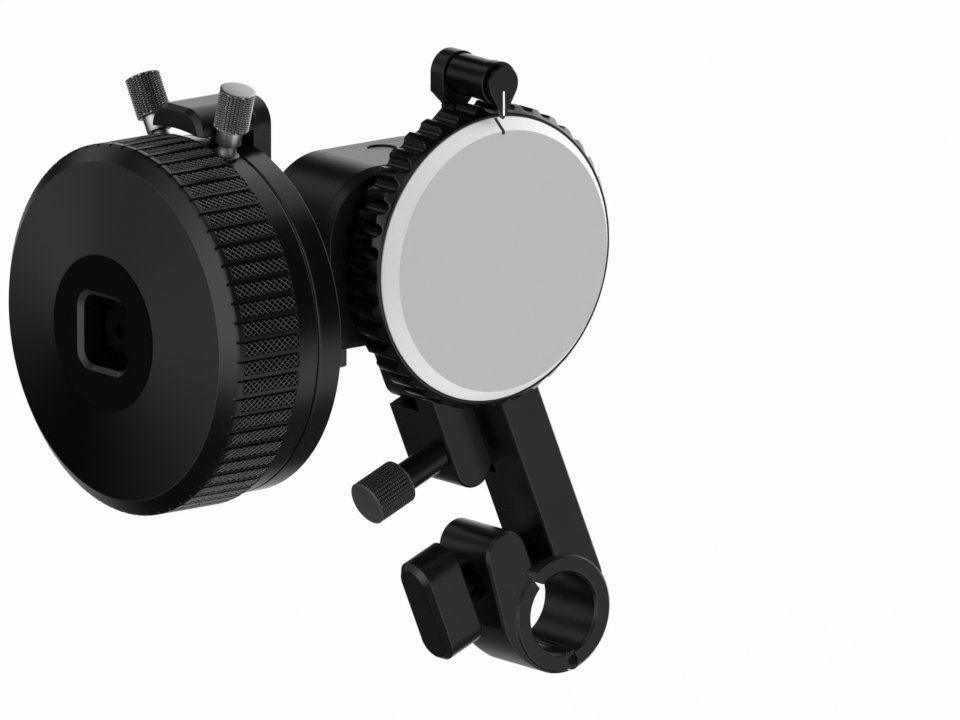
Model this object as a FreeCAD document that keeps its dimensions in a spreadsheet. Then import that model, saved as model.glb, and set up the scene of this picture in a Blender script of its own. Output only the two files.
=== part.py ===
import FreeCAD, Part
import math
import os

import Sketcher
from FreeCAD import Placement, Rotation, Vector

# Follow focus unit on a 15 mm rod clamp.
# X runs from the hand wheel (-X) to the lens (+X), Y runs along the rod and the lens,
# Z is up.  The origin is on the rod axis, half way along the clamp.  Sizes are in mm.

SIZES = (
    # rod clamp and arm, in the arm's own frame: q across it, p along it
    ("rod_radius", 7.5, "radius of the rod that the clamp grips"),
    ("ring_radius", 11.3, "outer radius of the clamp ring"),
    ("collar_proud", 0.4, "how far the ring's collar stands out of the faces"),
    ("collar_chamfer", 0.7, "chamfer on the outer edge of the collar"),
    ("mouth_chamfer", 0.5, "chamfer at each end of the rod bore"),
    ("arm_tilt", 22.3, "lean of the arm from upright, degrees"),
    ("arm_left", 2.25, "q of the arm's left face"),
    ("arm_width", 9.1, "width of the arm across q"),
    ("arm_front", -7.0, "y of the front face of the arm"),
    ("arm_depth", 14.2, "depth of the arm along y"),
    ("arm_reach", 50.0, "p of the upper end of the arm"),
    ("arm_chamfer", 0.4, "chamfer round the front edges of the arm"),
    ("guide_foot", 27.0, "p where the guide slot starts"),
    ("guide_back", 3.2, "distance of the guide slot's middle from the arm's back"),
    ("guide_neck", 3.6, "width of the slot's neck"),
    ("guide_head", 4.8, "width of the slot's head"),
    ("guide_neck_depth", 2.6, "depth of the slot's neck"),
    ("guide_head_depth", 2.0, "depth of the head below the neck"),
    ("slide_fit", 0.08, "clearance of the tongue in its slot"),
    # jaw, its pin and its wing screw
    ("split_angle", 109.0, "where the ring is split at the top, degrees from q"),
    ("split_gap", 1.2, "gap between the ring's two ends"),
    ("pin_angle", 262.0, "where the jaw pin lies, degrees from q"),
    ("pin_reach", 9.4, "distance of the jaw pin from the rod axis"),
    ("pin_radius", 0.9, "radius of the jaw pin"),
    ("knuckle_radius", 1.88, "radius of the knuckles round the jaw pin"),
    ("knuckle_length", 4.8, "length of the jaw's middle knuckle"),
    ("hinge_fit", 0.05, "running clearance at pins and bores"),
    ("end_play", 0.15, "clearance at the ends of knuckles and bushes"),
    ("jaw_q", -7.2, "q of the middle of the jaw's rounded head"),
    ("jaw_p", 16.6, "p of the middle of the jaw's rounded head"),
    ("jaw_radius", 4.6, "radius of the jaw's rounded head"),
    ("jaw_belly", 13.2, "how far the jaw's back lies left of the rod axis"),
    ("jaw_belly_p", 4.0, "p where the jaw's back starts to curve"),
    ("jaw_back", 17.9, "radius of the jaw's curved back"),
    ("jaw_runout", 233.0, "where the jaw's back meets the ring, degrees from q"),
    ("jaw_hug", 1.9, "how deep the jaw is rooted in the ring"),
    ("jaw_hook", 10.0, "angle from the split to the jaw's root, degrees"),
    ("jaw_lift", 0.9, "gap between the ring and the underside of the jaw's head"),
    ("seat_sink", 0.1, "depth of the washer's seat in the jaw"),
    ("seat_room", 0.3, "clearance round heads and washers in their seats"),
    ("jaw_chamfer", 0.5, "chamfer round the front edges of the jaw"),
    ("wing_p", 12.6, "p of the wing screw's axis"),
    ("wing_length", 20.8, "length of the wing"),
    ("wing_thick", 8.5, "thickness of the wing"),
    ("wing_depth", 8.4, "how deep the wing is along the screw"),
    ("wing_inner", -15.8, "q of the wing's inner face"),
    ("wing_chamfer", 1.1, "chamfer round the wing's outer face"),
    ("washer_radius", 3.5, "radius of the wing washer"),
    ("washer_thick", 1.5, "thickness of the wing washer"),
    ("stud_radius", 2.0, "radius of the wing screw's stud"),
    ("stud_slack", 0.9, "clearance of the stud and its washer in the jaw"),
    ("stud_tail", 6.6, "length of stud inside the arm"),
    ("wing_neck", 2.6, "radius of the neck between washer and wing"),
    # slide block, foot and lock knob
    ("block_q", -2.9, "q of the middle of the slide block"),
    ("block_radius", 4.2, "half width of the slide block"),
    ("block_foot", 32.0, "p of the middle of the block's rounded foot"),
    ("block_lead", 3.5, "distance of the block's front face from the guide's middle"),
    ("block_depth", 13.8, "depth of the slide block along y"),
    ("block_shelf", 45.0, "p where the block steps back for the foot"),
    ("block_top", 54.0, "p of the upper end of the slide block"),
    ("block_plate", 4.7, "thickness of the block in front of the foot"),
    ("block_chamfer", 0.4, "chamfer round the front edge of the block"),
    ("foot_radius", 3.9, "half width of the housing's foot"),
    ("foot_gap", 0.1, "gap between the foot and the block's shelf"),
    ("tongue_inset", 1.2, "distance of the tongue from the block's lower end"),
    ("foot_screw_low", 47.4, "p of the lower foot screw"),
    ("foot_screw_high", 51.4, "p of the upper foot screw"),
    ("foot_screw_radius", 1.0, "radius of the foot screws"),
    ("foot_head_radius", 1.7, "head radius of the foot screws"),
    ("foot_screw_head", 1.9, "depth of the foot screws' counterbores"),
    ("foot_screw_sink", 0.2, "how far the foot screws' heads lie below the face"),
    ("foot_screw_key", 0.75, "radius of the foot screws' key recess"),
    ("foot_screw_length", 6.8, "length of the foot screws' studs"),
    ("lock_p", 36.2, "p of the lock knob's axis"),
    ("lock_neck_radius", 2.75, "radius of the lock knob's neck"),
    ("lock_neck", 9.0, "length of the lock knob's neck"),
    ("lock_radius", 4.45, "radius of the lock knob's head"),
    ("lock_head", 8.7, "length of the lock knob's head"),
    ("lock_chamfer", 0.6, "chamfer at both ends of the lock knob's head"),
    ("lock_stud", 1.2, "radius of the lock screw"),
    ("lock_pad", 0.8, "thickness of the brass pad on the lock screw"),
    # output axis: marking wheel, marking disc and drive gear
    ("output_x", -22.3, "x of the output axis"),
    ("gear_centres", 6.8, "height of the output axis over the wheel axis"),
    ("disc_lead", 10.0, "distance of the disc's edge in front of the gearbox"),
    ("disc_radius", 26.3, "radius of the marking disc"),
    ("disc_bevel", 2.1, "width of the bevel round the disc's flat face"),
    ("disc_proud", 2.5, "how far the disc's face stands in front of its edge"),
    ("disc_seat", 1.6, "depth of the disc inside the marking wheel"),
    ("wheel_land", 1.95, "how far the marking wheel's lands reach beyond the disc"),
    ("wheel_lip", 0.5, "width of the lip round the disc"),
    ("wheel_lip_front", 0.15, "how far the lip stands behind the disc's edge"),
    ("wheel_slope", 1.6, "fall of the marking wheel's front from lip to lands"),
    ("wheel_thick", 6.0, "distance from the disc's edge to the back of the wheel's web"),
    ("wheel_skirt", 1.2, "how far the wheel's rim reaches behind its web"),
    ("wheel_wall", 2.75, "wall of the wheel's rim behind the web"),
    ("scallop_count", 40, "number of scallops"),
    ("scallop_radius", 1.5, "radius of a scallop"),
    ("scallop_depth", 1.05, "depth of a scallop"),
    ("disc_fit", 0.04, "clearance round the marking disc"),
    ("hub_boss", 7.5, "radius of the boss behind the marking wheel"),
    ("hub_boss_height", 2.4, "height of the boss behind the marking wheel"),
    ("magnet_bore", 2.5, "inner radius of the ring magnet"),
    ("magnet_radius", 9.0, "outer radius of the ring magnet behind the disc"),
    ("magnet_thick", 1.5, "thickness of the ring magnet"),
    ("output_shaft_radius", 4.0, "radius of the output shaft"),
    ("gear_shaft_radius", 1.9, "radius of both shafts inside their screw gears"),
    ("drive_module", 0.8, "module of the drive gear"),
    ("drive_teeth", 36, "teeth of the drive gear"),
    ("drive_width", 8.0, "face width of the drive gear"),
    ("drive_gap", 0.9, "gap between the housing's cover and the drive gear"),
    ("drive_recess", 12.0, "radius of the recess in the drive gear's back"),
    ("drive_recess_depth", 1.5, "depth of that recess"),
    ("drive_screw_head", 5.0, "head radius of the drive gear's screw"),
    ("drive_screw_height", 1.8, "head height of the drive gear's screw"),
    ("drive_screw_stud", 1.2, "radius of the drive gear's screw"),
    ("drive_screw_length", 6.0, "length of the drive gear's screw in the shaft"),
    ("pressure_angle", 20.0, "pressure angle of the drive gear, degrees"),
    # gearbox
    ("box_reach_left", 31.6, "reach of the gearbox left of the output axis"),
    ("box_reach_right", 13.0, "reach of the gearbox right of the output axis"),
    ("box_reach_up", 17.9, "reach of the gearbox above the output axis"),
    ("box_reach_down", 8.5, "reach of the gearbox below the wheel axis"),
    ("box_lead", 9.5, "distance of the gearbox's front from the wheel axis"),
    ("box_depth", 16.0, "depth of the gearbox without its cover"),
    ("box_shoulder", 13.2, "radius of the gearbox's upper corners"),
    ("box_toe", 4.0, "radius of the gearbox's lower corners"),
    ("box_chamfer", 1.3, "chamfer round the gearbox's front face"),
    ("cover_thick", 3.0, "thickness of the gearbox's cover"),
    ("box_wall", 3.6, "wall of the gear chamber"),
    ("chamber_left", 9.5, "reach of the gear chamber left of the output axis"),
    ("chamber_top", 7.6, "reach of the gear chamber above the output axis"),
    ("chamber_low", 4.2, "reach of the gear chamber below the wheel axis"),
    ("bearing_radius", 6.0, "outer radius of the ball bearings"),
    ("bearing_width", 3.0, "width of the ball bearings"),
    ("bearing_race", 0.7, "thickness of the bearings' inner and outer races"),
    ("bearing_shield", 0.35, "how deep the bearings' shields lie"),
    ("bearing_lip", 0.6, "thickness of the lip that holds a bearing"),
    ("lip_radius", 5.0, "radius of the hole in that lip"),
    ("bush_radius", 3.4, "outer radius of the wheel shaft's end bush"),
    ("bush_width", 2.2, "width of the wheel shaft's end bush"),
    ("cover_chamfer", 0.6, "chamfer round the cover's rear face"),
    ("cover_screw_top", 5.5, "distance of the upper cover screws from the top"),
    ("cover_screw_low", 2.8, "distance of the lower ones from the bottom and the right"),
    ("cover_screw_side", 8.5, "distance of the upper ones from the sides"),
    ("cover_screw_left", 13.2, "distance of the lower left one from the left side"),
    ("cover_screw_length", 7.0, "length of the cover screws' studs"),
    ("cover_screw_key", 0.9, "radius of the cover screws' key recess"),
    ("cover_screw_radius", 1.25, "radius of the cover screws"),
    ("cover_head_sink", 0.1, "how far the cover screws' heads lie below the cover"),
    ("cover_head_radius", 1.6, "head radius of the cover screws"),
    ("cover_head", 1.3, "head height of the cover screws"),
    ("plug_radius", 2.75, "radius of the plug in the gearbox's top"),
    ("plug_left", 8.2, "distance of the plug left of the output axis"),
    ("plug_back", 3.4, "distance of the plug behind the wheel axis"),
    ("plug_depth", 3.6, "depth of the plug's hole"),
    ("plug_sink", 1.3, "how far the plug lies below the gearbox's top"),
    ("drag_in", 9.0, "distance of the drag screw from the gearbox's left side"),
    ("drag_radius", 2.8, "head radius of the drag screw"),
    ("drag_head", 4.8, "head height of the drag screw"),
    ("drag_stud", 1.5, "radius of the drag screw's stud"),
    # hand wheel, measured back from its front face
    ("wheel_reach", 43.9, "distance of the hand wheel's front from the gearbox"),
    ("axis_y", 4.5, "y of the hand wheel's axis"),
    ("axis_z", 64.3, "z of the hand wheel's axis"),
    ("hub_radius", 14.4, "radius of the flat disc in the hand wheel's middle"),
    ("hub_step", 0.25, "how far the flat disc stands out of the dish"),
    ("rim_slope", 3.15, "width of the bevel at the front of the rim"),
    ("dish_fall", 2.5, "how far the dish's edge lies behind the flat disc"),
    ("rim_radius", 34.15, "radius over the knurled rim"),
    ("rim_bevel", 2.5, "length of the bevel in front of the rim"),
    ("rim_end", 18.85, "where the knurled rim ends"),
    ("face_thick", 3.0, "thickness of the dished face at its edge"),
    ("web_back", 8.0, "where the web of the hand wheel ends"),
    ("journal_wall", 3.0, "wall of the journal that the stop rings turn on"),
    ("sleeve_radius", 10.0, "radius of the sleeve round the wheel shaft"),
    ("sleeve_end", 24.0, "where the sleeve ends"),
    ("groove_count", 60, "number of grooves across the rim"),
    ("groove_half", 0.57, "half width of a groove"),
    ("groove_depth", 0.7, "depth of a groove"),
    ("groove_front", 4.3, "where the grooves start"),
    ("socket_width", 13.0, "width of the square socket"),
    ("socket_corner", 2.8, "corner radius of the socket"),
    ("socket_chamfer", 0.9, "chamfer round the socket's mouth"),
    ("socket_depth", 6.0, "depth of the square socket"),
    ("wheel_shaft_radius", 4.0, "radius of the wheel shaft"),
    ("shaft_screw_head", 4.2, "head radius of the screw in the socket's floor"),
    ("shaft_screw_height", 2.0, "head height of the screw in the socket's floor"),
    ("shaft_screw_key", 1.25, "radius of that screw's key recess"),
    ("shaft_screw_stud", 1.5, "radius of that screw's stud"),
    ("shaft_screw_length", 8.0, "length of that screw's stud"),
    # stop rings, thumbscrews and stop bracket
    ("ring_play", 0.1, "gap between the knurled rim and the front stop ring"),
    ("ring_edge", 0.25, "chamfer on the edges of the stop rings"),
    ("ring_width", 5.15, "width of a stop ring"),
    ("ring_gap", 0.15, "gap between the stop rings"),
    ("ring_step", 1.2, "how far the stop rings lie below the knurled rim"),
    ("ring_wall", 6.0, "thickness of the stop rings, from their outside to the journal"),
    ("stop_angle_one", 15.8, "lean of the front thumbscrew to -Y, degrees"),
    ("stop_angle_two", -29.2, "lean of the rear thumbscrew to -Y, degrees"),
    ("thumb_foot", 2.4, "radius of a thumbscrew's foot"),
    ("thumb_waist", 1.55, "radius of a thumbscrew's waist"),
    ("thumb_neck", 2.34, "radius of a thumbscrew's neck"),
    ("thumb_foot_height", 2.4, "height of a thumbscrew's foot"),
    ("thumb_neck_height", 3.1, "height of a thumbscrew's neck"),
    ("thumb_head", 3.4, "radius of a thumbscrew's head"),
    ("thumb_head_height", 7.8, "height of a thumbscrew's head"),
    ("thumb_chamfer", 0.5, "chamfer at both ends of a thumbscrew's head"),
    ("thumb_stud", 1.2, "radius of a thumbscrew's stud"),
    ("thumb_reach", 5.8, "length of a thumbscrew's stud"),
    ("bar_half", 7.4, "half width of the stop bar"),
    ("bar_thick", 4.1, "thickness of the stop bar over the stop rings"),
    ("bar_clear", 2.9, "clearance of the stop bar over the stop rings"),
    ("bar_corner", 4.6, "corner radius of the stop bar"),
    ("bar_front", 16.8, "where the stop bar starts"),
    ("bar_chamfer", 0.9, "chamfer round the stop bar's front"),
    ("strap_gap", 0.6, "gap between the rear stop ring and the bracket"),
    ("strap_thick", 4.0, "thickness of the bracket behind the rings"),
    ("strap_foot", 12.5, "radius of the bracket's round foot"),
    ("strap_half", 6.4, "half width of the bracket behind the rings"),
    ("neck_radius", 8.8, "outer radius of the neck tube"),
    ("spigot_radius", 7.6, "radius of the neck tube's spigot in the bracket"),
    ("tail_radius", 6.0, "radius of the neck tube's tail in the gearbox"),
    ("tail_length", 4.0, "length of the neck tube's tail in the gearbox"),
    ("neck_bore", 4.6, "bore of the neck tube between its bearings"),
    ("bracket_screw_at", 7.4, "y and z of the bracket screws from the axis"),
    ("bracket_screw_head", 1.7, "head radius of the bracket screws"),
    ("bracket_head_height", 1.5, "head height of the bracket screws"),
    ("bracket_screw_length", 5.0, "length of the bracket screws' studs"),
    ("bracket_screw_radius", 1.0, "radius of the bracket screws"),
    ("bracket_flange", 3.0, "thickness of the neck tube's flange"),
    # pointer
    ("pointer_over", 4.7, "height of the pointer's axis over the marking wheel's lands"),
    ("pointer_radius", 3.8, "radius of the pointer's barrel"),
    ("pointer_head_radius", 4.15, "radius of the pointer arm's round head"),
    ("pointer_head_thick", 3.7, "thickness of the pointer arm's head"),
    ("pointer_groove", 0.45, "width of the groove between head and barrel"),
    ("pointer_collar", 2.0, "length of the barrel's front collar"),
    ("pointer_collar_step", 0.2, "how far the collar stands out of the barrel"),
    ("pointer_gap", 0.5, "gap between the collar and the pointer plate"),
    ("pointer_plate_thick", 0.9, "thickness of the pointer plate"),
    ("pointer_plate_radius", 3.3, "radius of the pointer plate's round end"),
    ("pointer_clear", 0.15, "gap between the pointer's tip and the marking disc"),
    ("pointer_lead", 1.75, "distance of the pointer plate's back in front of the disc's edge"),
    ("pointer_line_width", 0.42, "width of the pointer's line"),
    ("pointer_line_top", 1.3, "distance from the plate's centre to the line"),
    ("pointer_line_sink", 0.3, "depth of the pointer's line"),
    ("pointer_neck", 2.5, "radius of the barrel's necks"),
    ("pointer_pin", 1.5, "radius of the pin that the barrel turns on"),
    ("pointer_pin_length", 9.4, "length of that pin in front of the head"),
    ("post_half", 4.0, "half width of the pointer arm"),
    ("post_thick", 1.9, "thickness of the pointer arm's front plate"),
    ("post_foot", 11.5, "height of the arm's foot over the output axis"),
    ("post_top", 25.9, "height of that plate's top over the output axis"),
    ("post_gap", 0.2, "gap between the gearbox's top and the pointer arm"),
    ("post_screw", 13.7, "height of the arm's screws over the output axis"),
    ("post_screw_gap", 2.1, "distance of those screws from the arm's middle"),
    ("post_screw_radius", 0.8, "radius of those screws"),
    ("post_screw_head", 1.5, "head radius of those screws"),
    ("post_head_height", 0.9, "head height of those screws"),
    ("post_screw_length", 3.5, "length of those screws behind the arm"),
    # screw gears
    ("screw_teeth", 8, "teeth of each screw gear"),
    ("screw_width", 9.0, "face width of each screw gear"),
    ("screw_addendum", 0.42, "height of the teeth over the pitch circle"),
    ("screw_dedendum", 0.72, "depth of the teeth under the pitch circle"),
    ("screw_fill", 0.34, "tooth thickness as a share of the pitch"),
    ("thread_gap", 0.02, "clearance of a screw turning in its thread"),
)

doc = FreeCAD.newDocument("follow_focus")
sheet = doc.addObject("Spreadsheet::Sheet", "Sizes")


class Size:
    """A number together with the spreadsheet expression that it comes from."""

    def __init__(self, value, text):
        self.value = value
        self.text = text

    def __add__(self, other):
        other = size(other)
        return Size(self.value + other.value, f"({self.text} + {other.text})")

    def __sub__(self, other):
        other = size(other)
        return Size(self.value - other.value, f"({self.text} - {other.text})")

    def __mul__(self, other):
        other = size(other)
        return Size(self.value * other.value, f"({self.text} * {other.text})")

    def __truediv__(self, other):
        other = size(other)
        return Size(self.value / other.value, f"({self.text} / {other.text})")

    def __neg__(self):
        return Size(-self.value, f"(0 - {self.text})")

    def __radd__(self, other):
        return size(other) + self

    def __rsub__(self, other):
        return size(other) - self

    def __rmul__(self, other):
        return size(other) * self


def size(number):
    if isinstance(number, Size):
        return number
    return Size(float(number), repr(float(number)))


def cosine(angle):
    angle = size(angle)
    return Size(math.cos(math.radians(angle.value)), f"cos({angle.text} * 1 deg)")


def sine(angle):
    angle = size(angle)
    return Size(math.sin(math.radians(angle.value)), f"sin({angle.text} * 1 deg)")


def tangent(angle):
    angle = size(angle)
    return Size(math.tan(math.radians(angle.value)), f"tan({angle.text} * 1 deg)")


def root(number):
    return Size(math.sqrt(number.value), f"sqrt({number.text})")


class Sizes:
    """Every size of the sheet, as an attribute of its own name."""


def fill_sheet():
    named = Sizes()
    for row, (alias, number, note) in enumerate(SIZES, start=1):
        sheet.set(f"A{row}", alias)
        sheet.set(f"B{row}", str(number))
        sheet.set(f"C{row}", note)
        sheet.setAlias(f"B{row}", alias)
    doc.recompute()
    for alias, number, note in SIZES:
        setattr(named, alias, Size(float(sheet.get(alias)), f"Sizes.{alias}"))
    return named


S = fill_sheet()
parts = []

X_AXIS = Vector(1, 0, 0)
Y_AXIS = Vector(0, 1, 0)
Z_AXIS = Vector(0, 0, 1)
PLANES = {"x": "YZ_Plane", "y": "XZ_Plane", "z": "XY_Plane"}

# places and sizes that follow from the ones above
OUTPUT_Z = S.axis_z + S.gear_centres
BOX_LEFT = S.output_x - S.box_reach_left
BOX_RIGHT = S.output_x + S.box_reach_right
BOX_TOP = OUTPUT_Z + S.box_reach_up
BOX_BOTTOM = S.axis_z - S.box_reach_down
BOX_FRONT = S.axis_y - S.box_lead
BOX_BACK = BOX_FRONT + S.box_depth
COVER_BACK = BOX_BACK + S.cover_thick
FACE_X = BOX_LEFT - S.wheel_reach
PLUG_X = S.output_x - S.plug_left
PLUG_Y = S.axis_y + S.plug_back
DRAG_X = BOX_LEFT + S.drag_in
DISC_EDGE = BOX_FRONT - S.disc_lead
DISC_FACE = S.disc_radius - S.disc_bevel
WHEEL_RIM = S.disc_radius + S.wheel_land
POINTER_RISE = WHEEL_RIM + S.pointer_over


# ---- small tools for bodies, sketches and features -------------------------------

def place(item, x=0, y=0, z=0, axis=Z_AXIS, angle=0):
    """Put an object at (x, y, z), turned about an axis, all bound to the sheet."""
    item.Placement = Placement(Vector(size(x).value, size(y).value, size(z).value),
                               Rotation(axis, size(angle).value))
    for name, number in (("x", x), ("y", y), ("z", z)):
        if isinstance(number, Size):
            item.setExpression(f"Placement.Base.{name}", number.text)
    if isinstance(angle, Size):
        item.setExpression("Placement.Rotation.Angle", angle.text + " * 1 deg")


def new_body(label, **where):
    body = doc.addObject("PartDesign::Body", label)
    body.Label = label
    place(body, **where)
    parts.append(body)
    return body


def arm_body(label):
    """A body in the arm's frame: its X is q, its Z is p."""
    return new_body(label, axis=Y_AXIS, angle=-S.arm_tilt)


def wheel_body(label):
    """A body whose X axis is the hand wheel's axis, from the front face back."""
    return new_body(label, x=FACE_X, y=S.axis_y, z=S.axis_z)


def output_body(label):
    """A body whose X axis is the output axis, from the disc's edge back (+Y)."""
    return new_body(label, x=S.output_x, y=DISC_EDGE, z=OUTPUT_Z, angle=90)


def arm_point(q, p):
    """The x and z of a point of the arm's frame."""
    lean = S.arm_tilt
    return cosine(lean) * q - sine(lean) * p, sine(lean) * q + cosine(lean) * p


def new_sketch(body, axis, level=0):
    """A sketch square to an axis, at a level along that axis."""
    role = PLANES[axis]
    plane = next(item for item in body.Origin.OriginFeatures if item.Role == role)
    sketch = body.newObject("Sketcher::SketchObject", body.Label + "_sketch")
    sketch.AttachmentSupport = [(plane, "")]
    sketch.MapMode = "FlatFace"
    level = -size(level) if axis == "y" else size(level)
    sketch.AttachmentOffset = Placement(Vector(0, 0, level.value), Rotation())
    sketch.setExpression("AttachmentOffset.Base.z", level.text)
    return sketch


def pin_value(sketch, index, name, number):
    sketch.renameConstraint(index, name)
    sketch.setExpression("Constraints." + name, number.text)


def draw_circle(sketch, across, up, radius):
    across, up, radius = size(across), size(up), size(radius)
    centre = Vector(across.value, up.value, 0)
    index = sketch.addGeometry(Part.Circle(centre, Z_AXIS, radius.value))
    tag = f"circle{index}"
    rows = (("DistanceX", across, "x"), ("DistanceY", up, "y"))
    for kind, number, name in rows:
        row = sketch.addConstraint(Sketcher.Constraint(kind, -1, 1, index, 3, number.value))
        pin_value(sketch, row, tag + name, number)
    row = sketch.addConstraint(Sketcher.Constraint("Radius", index, radius.value))
    pin_value(sketch, row, tag + "r", radius)


def arc_between(start, end, radius):
    """The shorter arc from start to end; a positive radius bulges to the right."""
    chord = end - start
    half = chord.Length / 2
    reach = math.sqrt(max(radius * radius - half * half, 0))
    left = Vector(-chord.y, chord.x, 0).normalize()
    centre = (start + end) * 0.5 + left * math.copysign(reach, radius)
    first, last = (start, end) if radius > 0 else (end, start)
    first_angle = math.atan2(first.y - centre.y, first.x - centre.x)
    last_angle = math.atan2(last.y - centre.y, last.x - centre.x)
    if last_angle < first_angle:
        last_angle += 2 * math.pi
    return Part.ArcOfCircle(Part.Circle(centre, Z_AXIS, abs(radius)), first_angle, last_angle)


def draw_path(sketch, corners):
    """A closed outline.  A corner (x, y) starts a line, (x, y, r) starts an arc.

    The arc bulges to the right of its way when r is positive, else to the left.
    """
    count = len(corners)
    spots = [Vector(size(corner[0]).value, size(corner[1]).value, 0) for corner in corners]
    first = sketch.GeometryCount
    for number, corner in enumerate(corners):
        start = spots[number]
        end = spots[(number + 1) % count]
        if len(corner) == 2:
            sketch.addGeometry(Part.LineSegment(start, end))
        else:
            sketch.addGeometry(arc_between(start, end, size(corner[2]).value))
    flipped = [len(corner) == 3 and size(corner[2]).value < 0 for corner in corners]
    ends = [(2, 1) if backwards else (1, 2) for backwards in flipped]
    for number, corner in enumerate(corners):
        index = first + number
        before = first + (number - 1) % count
        here = ends[number][0]
        there = ends[(number - 1) % count][1]
        sketch.addConstraint(Sketcher.Constraint("Coincident", before, there, index, here))
        rows = (("DistanceX", corner[0], "x"), ("DistanceY", corner[1], "y"))
        for kind, number_here, name in rows:
            number_here = size(number_here)
            row = sketch.addConstraint(
                Sketcher.Constraint(kind, -1, 1, index, here, number_here.value))
            pin_value(sketch, row, f"corner{index}{name}", number_here)
        if len(corner) == 3:
            radius = size(corner[2])
            if radius.value < 0:
                radius = -radius
            row = sketch.addConstraint(Sketcher.Constraint("Radius", index, radius.value))
            pin_value(sketch, row, f"corner{index}r", radius)


def draw(sketch, loops):
    for loop in loops:
        if loop[0] == "circle":
            draw_circle(sketch, *loop[1:])
        else:
            draw_path(sketch, loop)


def check_change(body, before, name):
    """A feature that adds or cuts nothing is an error."""
    doc.recompute()
    after = body.Shape.Volume
    if abs(after - before) < 1e-4:
        raise RuntimeError(f"{body.Label}: {name} changes nothing")


def volume(body):
    return 0 if body.Shape.isNull() else body.Shape.Volume


def pad(body, axis, start, length, *loops):
    """Add an outline along +axis, from start over a length."""
    before = volume(body)
    sketch = new_sketch(body, axis, start)
    draw(sketch, loops)
    feature = body.newObject("PartDesign::Pad", body.Label + "_pad")
    feature.Profile = sketch
    feature.Length = size(length).value
    feature.setExpression("Length", size(length).text)
    feature.Reversed = axis == "y"
    check_change(body, before, feature.Name)
    return feature


def pocket(body, axis, start, length, *loops):
    """Cut an outline along +axis, from start over a length."""
    before = volume(body)
    sketch = new_sketch(body, axis, start)
    draw(sketch, loops)
    feature = body.newObject("PartDesign::Pocket", body.Label + "_pocket")
    feature.Profile = sketch
    feature.Length = size(length).value
    feature.setExpression("Length", size(length).text)
    feature.Reversed = axis != "y"
    check_change(body, before, feature.Name)
    return feature


def turn(body, corners, cut=False):
    """Turn an outline of (along, radius) corners about the body's X axis."""
    before = volume(body)
    sketch = new_sketch(body, "z")
    draw(sketch, [corners])
    kind = "PartDesign::Groove" if cut else "PartDesign::Revolution"
    feature = body.newObject(kind, body.Label + "_turn")
    feature.Profile = sketch
    feature.ReferenceAxis = (sketch, ["H_Axis"])
    feature.Angle = 360
    check_change(body, before, feature.Name)
    return feature


def turn_up(body, corners):
    """Turn an outline of (radius, height) corners about the body's Z axis."""
    before = volume(body)
    sketch = new_sketch(body, "y")
    draw(sketch, [corners])
    feature = body.newObject("PartDesign::Revolution", body.Label + "_turn")
    feature.Profile = sketch
    feature.ReferenceAxis = (sketch, ["V_Axis"])
    feature.Angle = 360
    check_change(body, before, feature.Name)
    return feature


def around(body, feature, count):
    """Repeat a cut round the body's X axis."""
    doc.recompute()
    before = volume(body)
    pattern = body.newObject("PartDesign::PolarPattern", body.Label + "_pattern")
    pattern.Originals = [feature]
    pattern.Axis = (body.Origin.OriginFeatures[0], [""])
    pattern.Angle = 360
    pattern.Occurrences = int(count.value)
    pattern.setExpression("Occurrences", count.text)
    body.Tip = pattern
    check_change(body, before, pattern.Name)
    return pattern


def chamfer(body, length, wanted):
    """Chamfer the edges for which wanted(edge) holds."""
    doc.recompute()
    before = volume(body)
    base = body.Tip
    names = [f"Edge{number}" for number, edge in enumerate(base.Shape.Edges, start=1)
             if wanted(edge)]
    feature = body.newObject("PartDesign::Chamfer", body.Label + "_chamfer")
    feature.Base = (base, names)
    feature.Size = length.value
    feature.setExpression("Size", length.text)
    check_change(body, before, feature.Name)
    return feature


def on_level(axis, level):
    """Edges that lie in the plane axis = level."""
    index = {"x": 0, "y": 1, "z": 2}[axis]
    level = size(level).value

    def wanted(edge):
        box = edge.BoundBox
        low = (box.XMin, box.YMin, box.ZMin)[index]
        high = (box.XMax, box.YMax, box.ZMax)[index]
        return abs(low - level) < 1e-4 and abs(high - level) < 1e-4
    return wanted


def capsule(q, low, high, radius):
    """Outline of an upright bar with two round ends, low and high at their middles."""
    return [(q + radius, low), (q + radius, high, radius), (q, high + radius, radius),
            (q - radius, high), (q - radius, low, radius), (q, low - radius, radius)]


def tube(body, start, end, outer, inner):
    return turn(body, [(start, inner), (end, inner), (end, outer), (start, outer)])


def rod(body, start, end, radius):
    return turn(body, [(start, 0), (end, 0), (end, radius), (start, radius)])


# ---- rod clamp and arm -----------------------------------------------------------

ARM_RIGHT = S.arm_left + S.arm_width
ARM_BACK = S.arm_front + S.arm_depth
NECK_FLOOR = S.arm_left + S.guide_neck_depth
HEAD_FLOOR = NECK_FLOOR + S.guide_head_depth
PIN_Q = S.pin_reach * cosine(S.pin_angle)
PIN_P = S.pin_reach * sine(S.pin_angle)
HALF_SPLIT = S.split_gap / 2
ARM_MIDDLE = S.arm_front + S.arm_depth / 2
GUIDE_Y = ARM_BACK - S.guide_back
BLOCK_FRONT = GUIDE_Y - S.block_lead
JAW_SEAT = S.jaw_q - S.jaw_radius + S.seat_sink


def pin_circle(radius):
    return ("circle", PIN_Q, PIN_P, radius)


def ring_point(radius, angle, shift=0):
    """A point of the clamp ring, moved square to its radius by a shift."""
    return (radius * cosine(angle) - sine(angle) * shift,
            radius * sine(angle) + cosine(angle) * shift)


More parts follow.
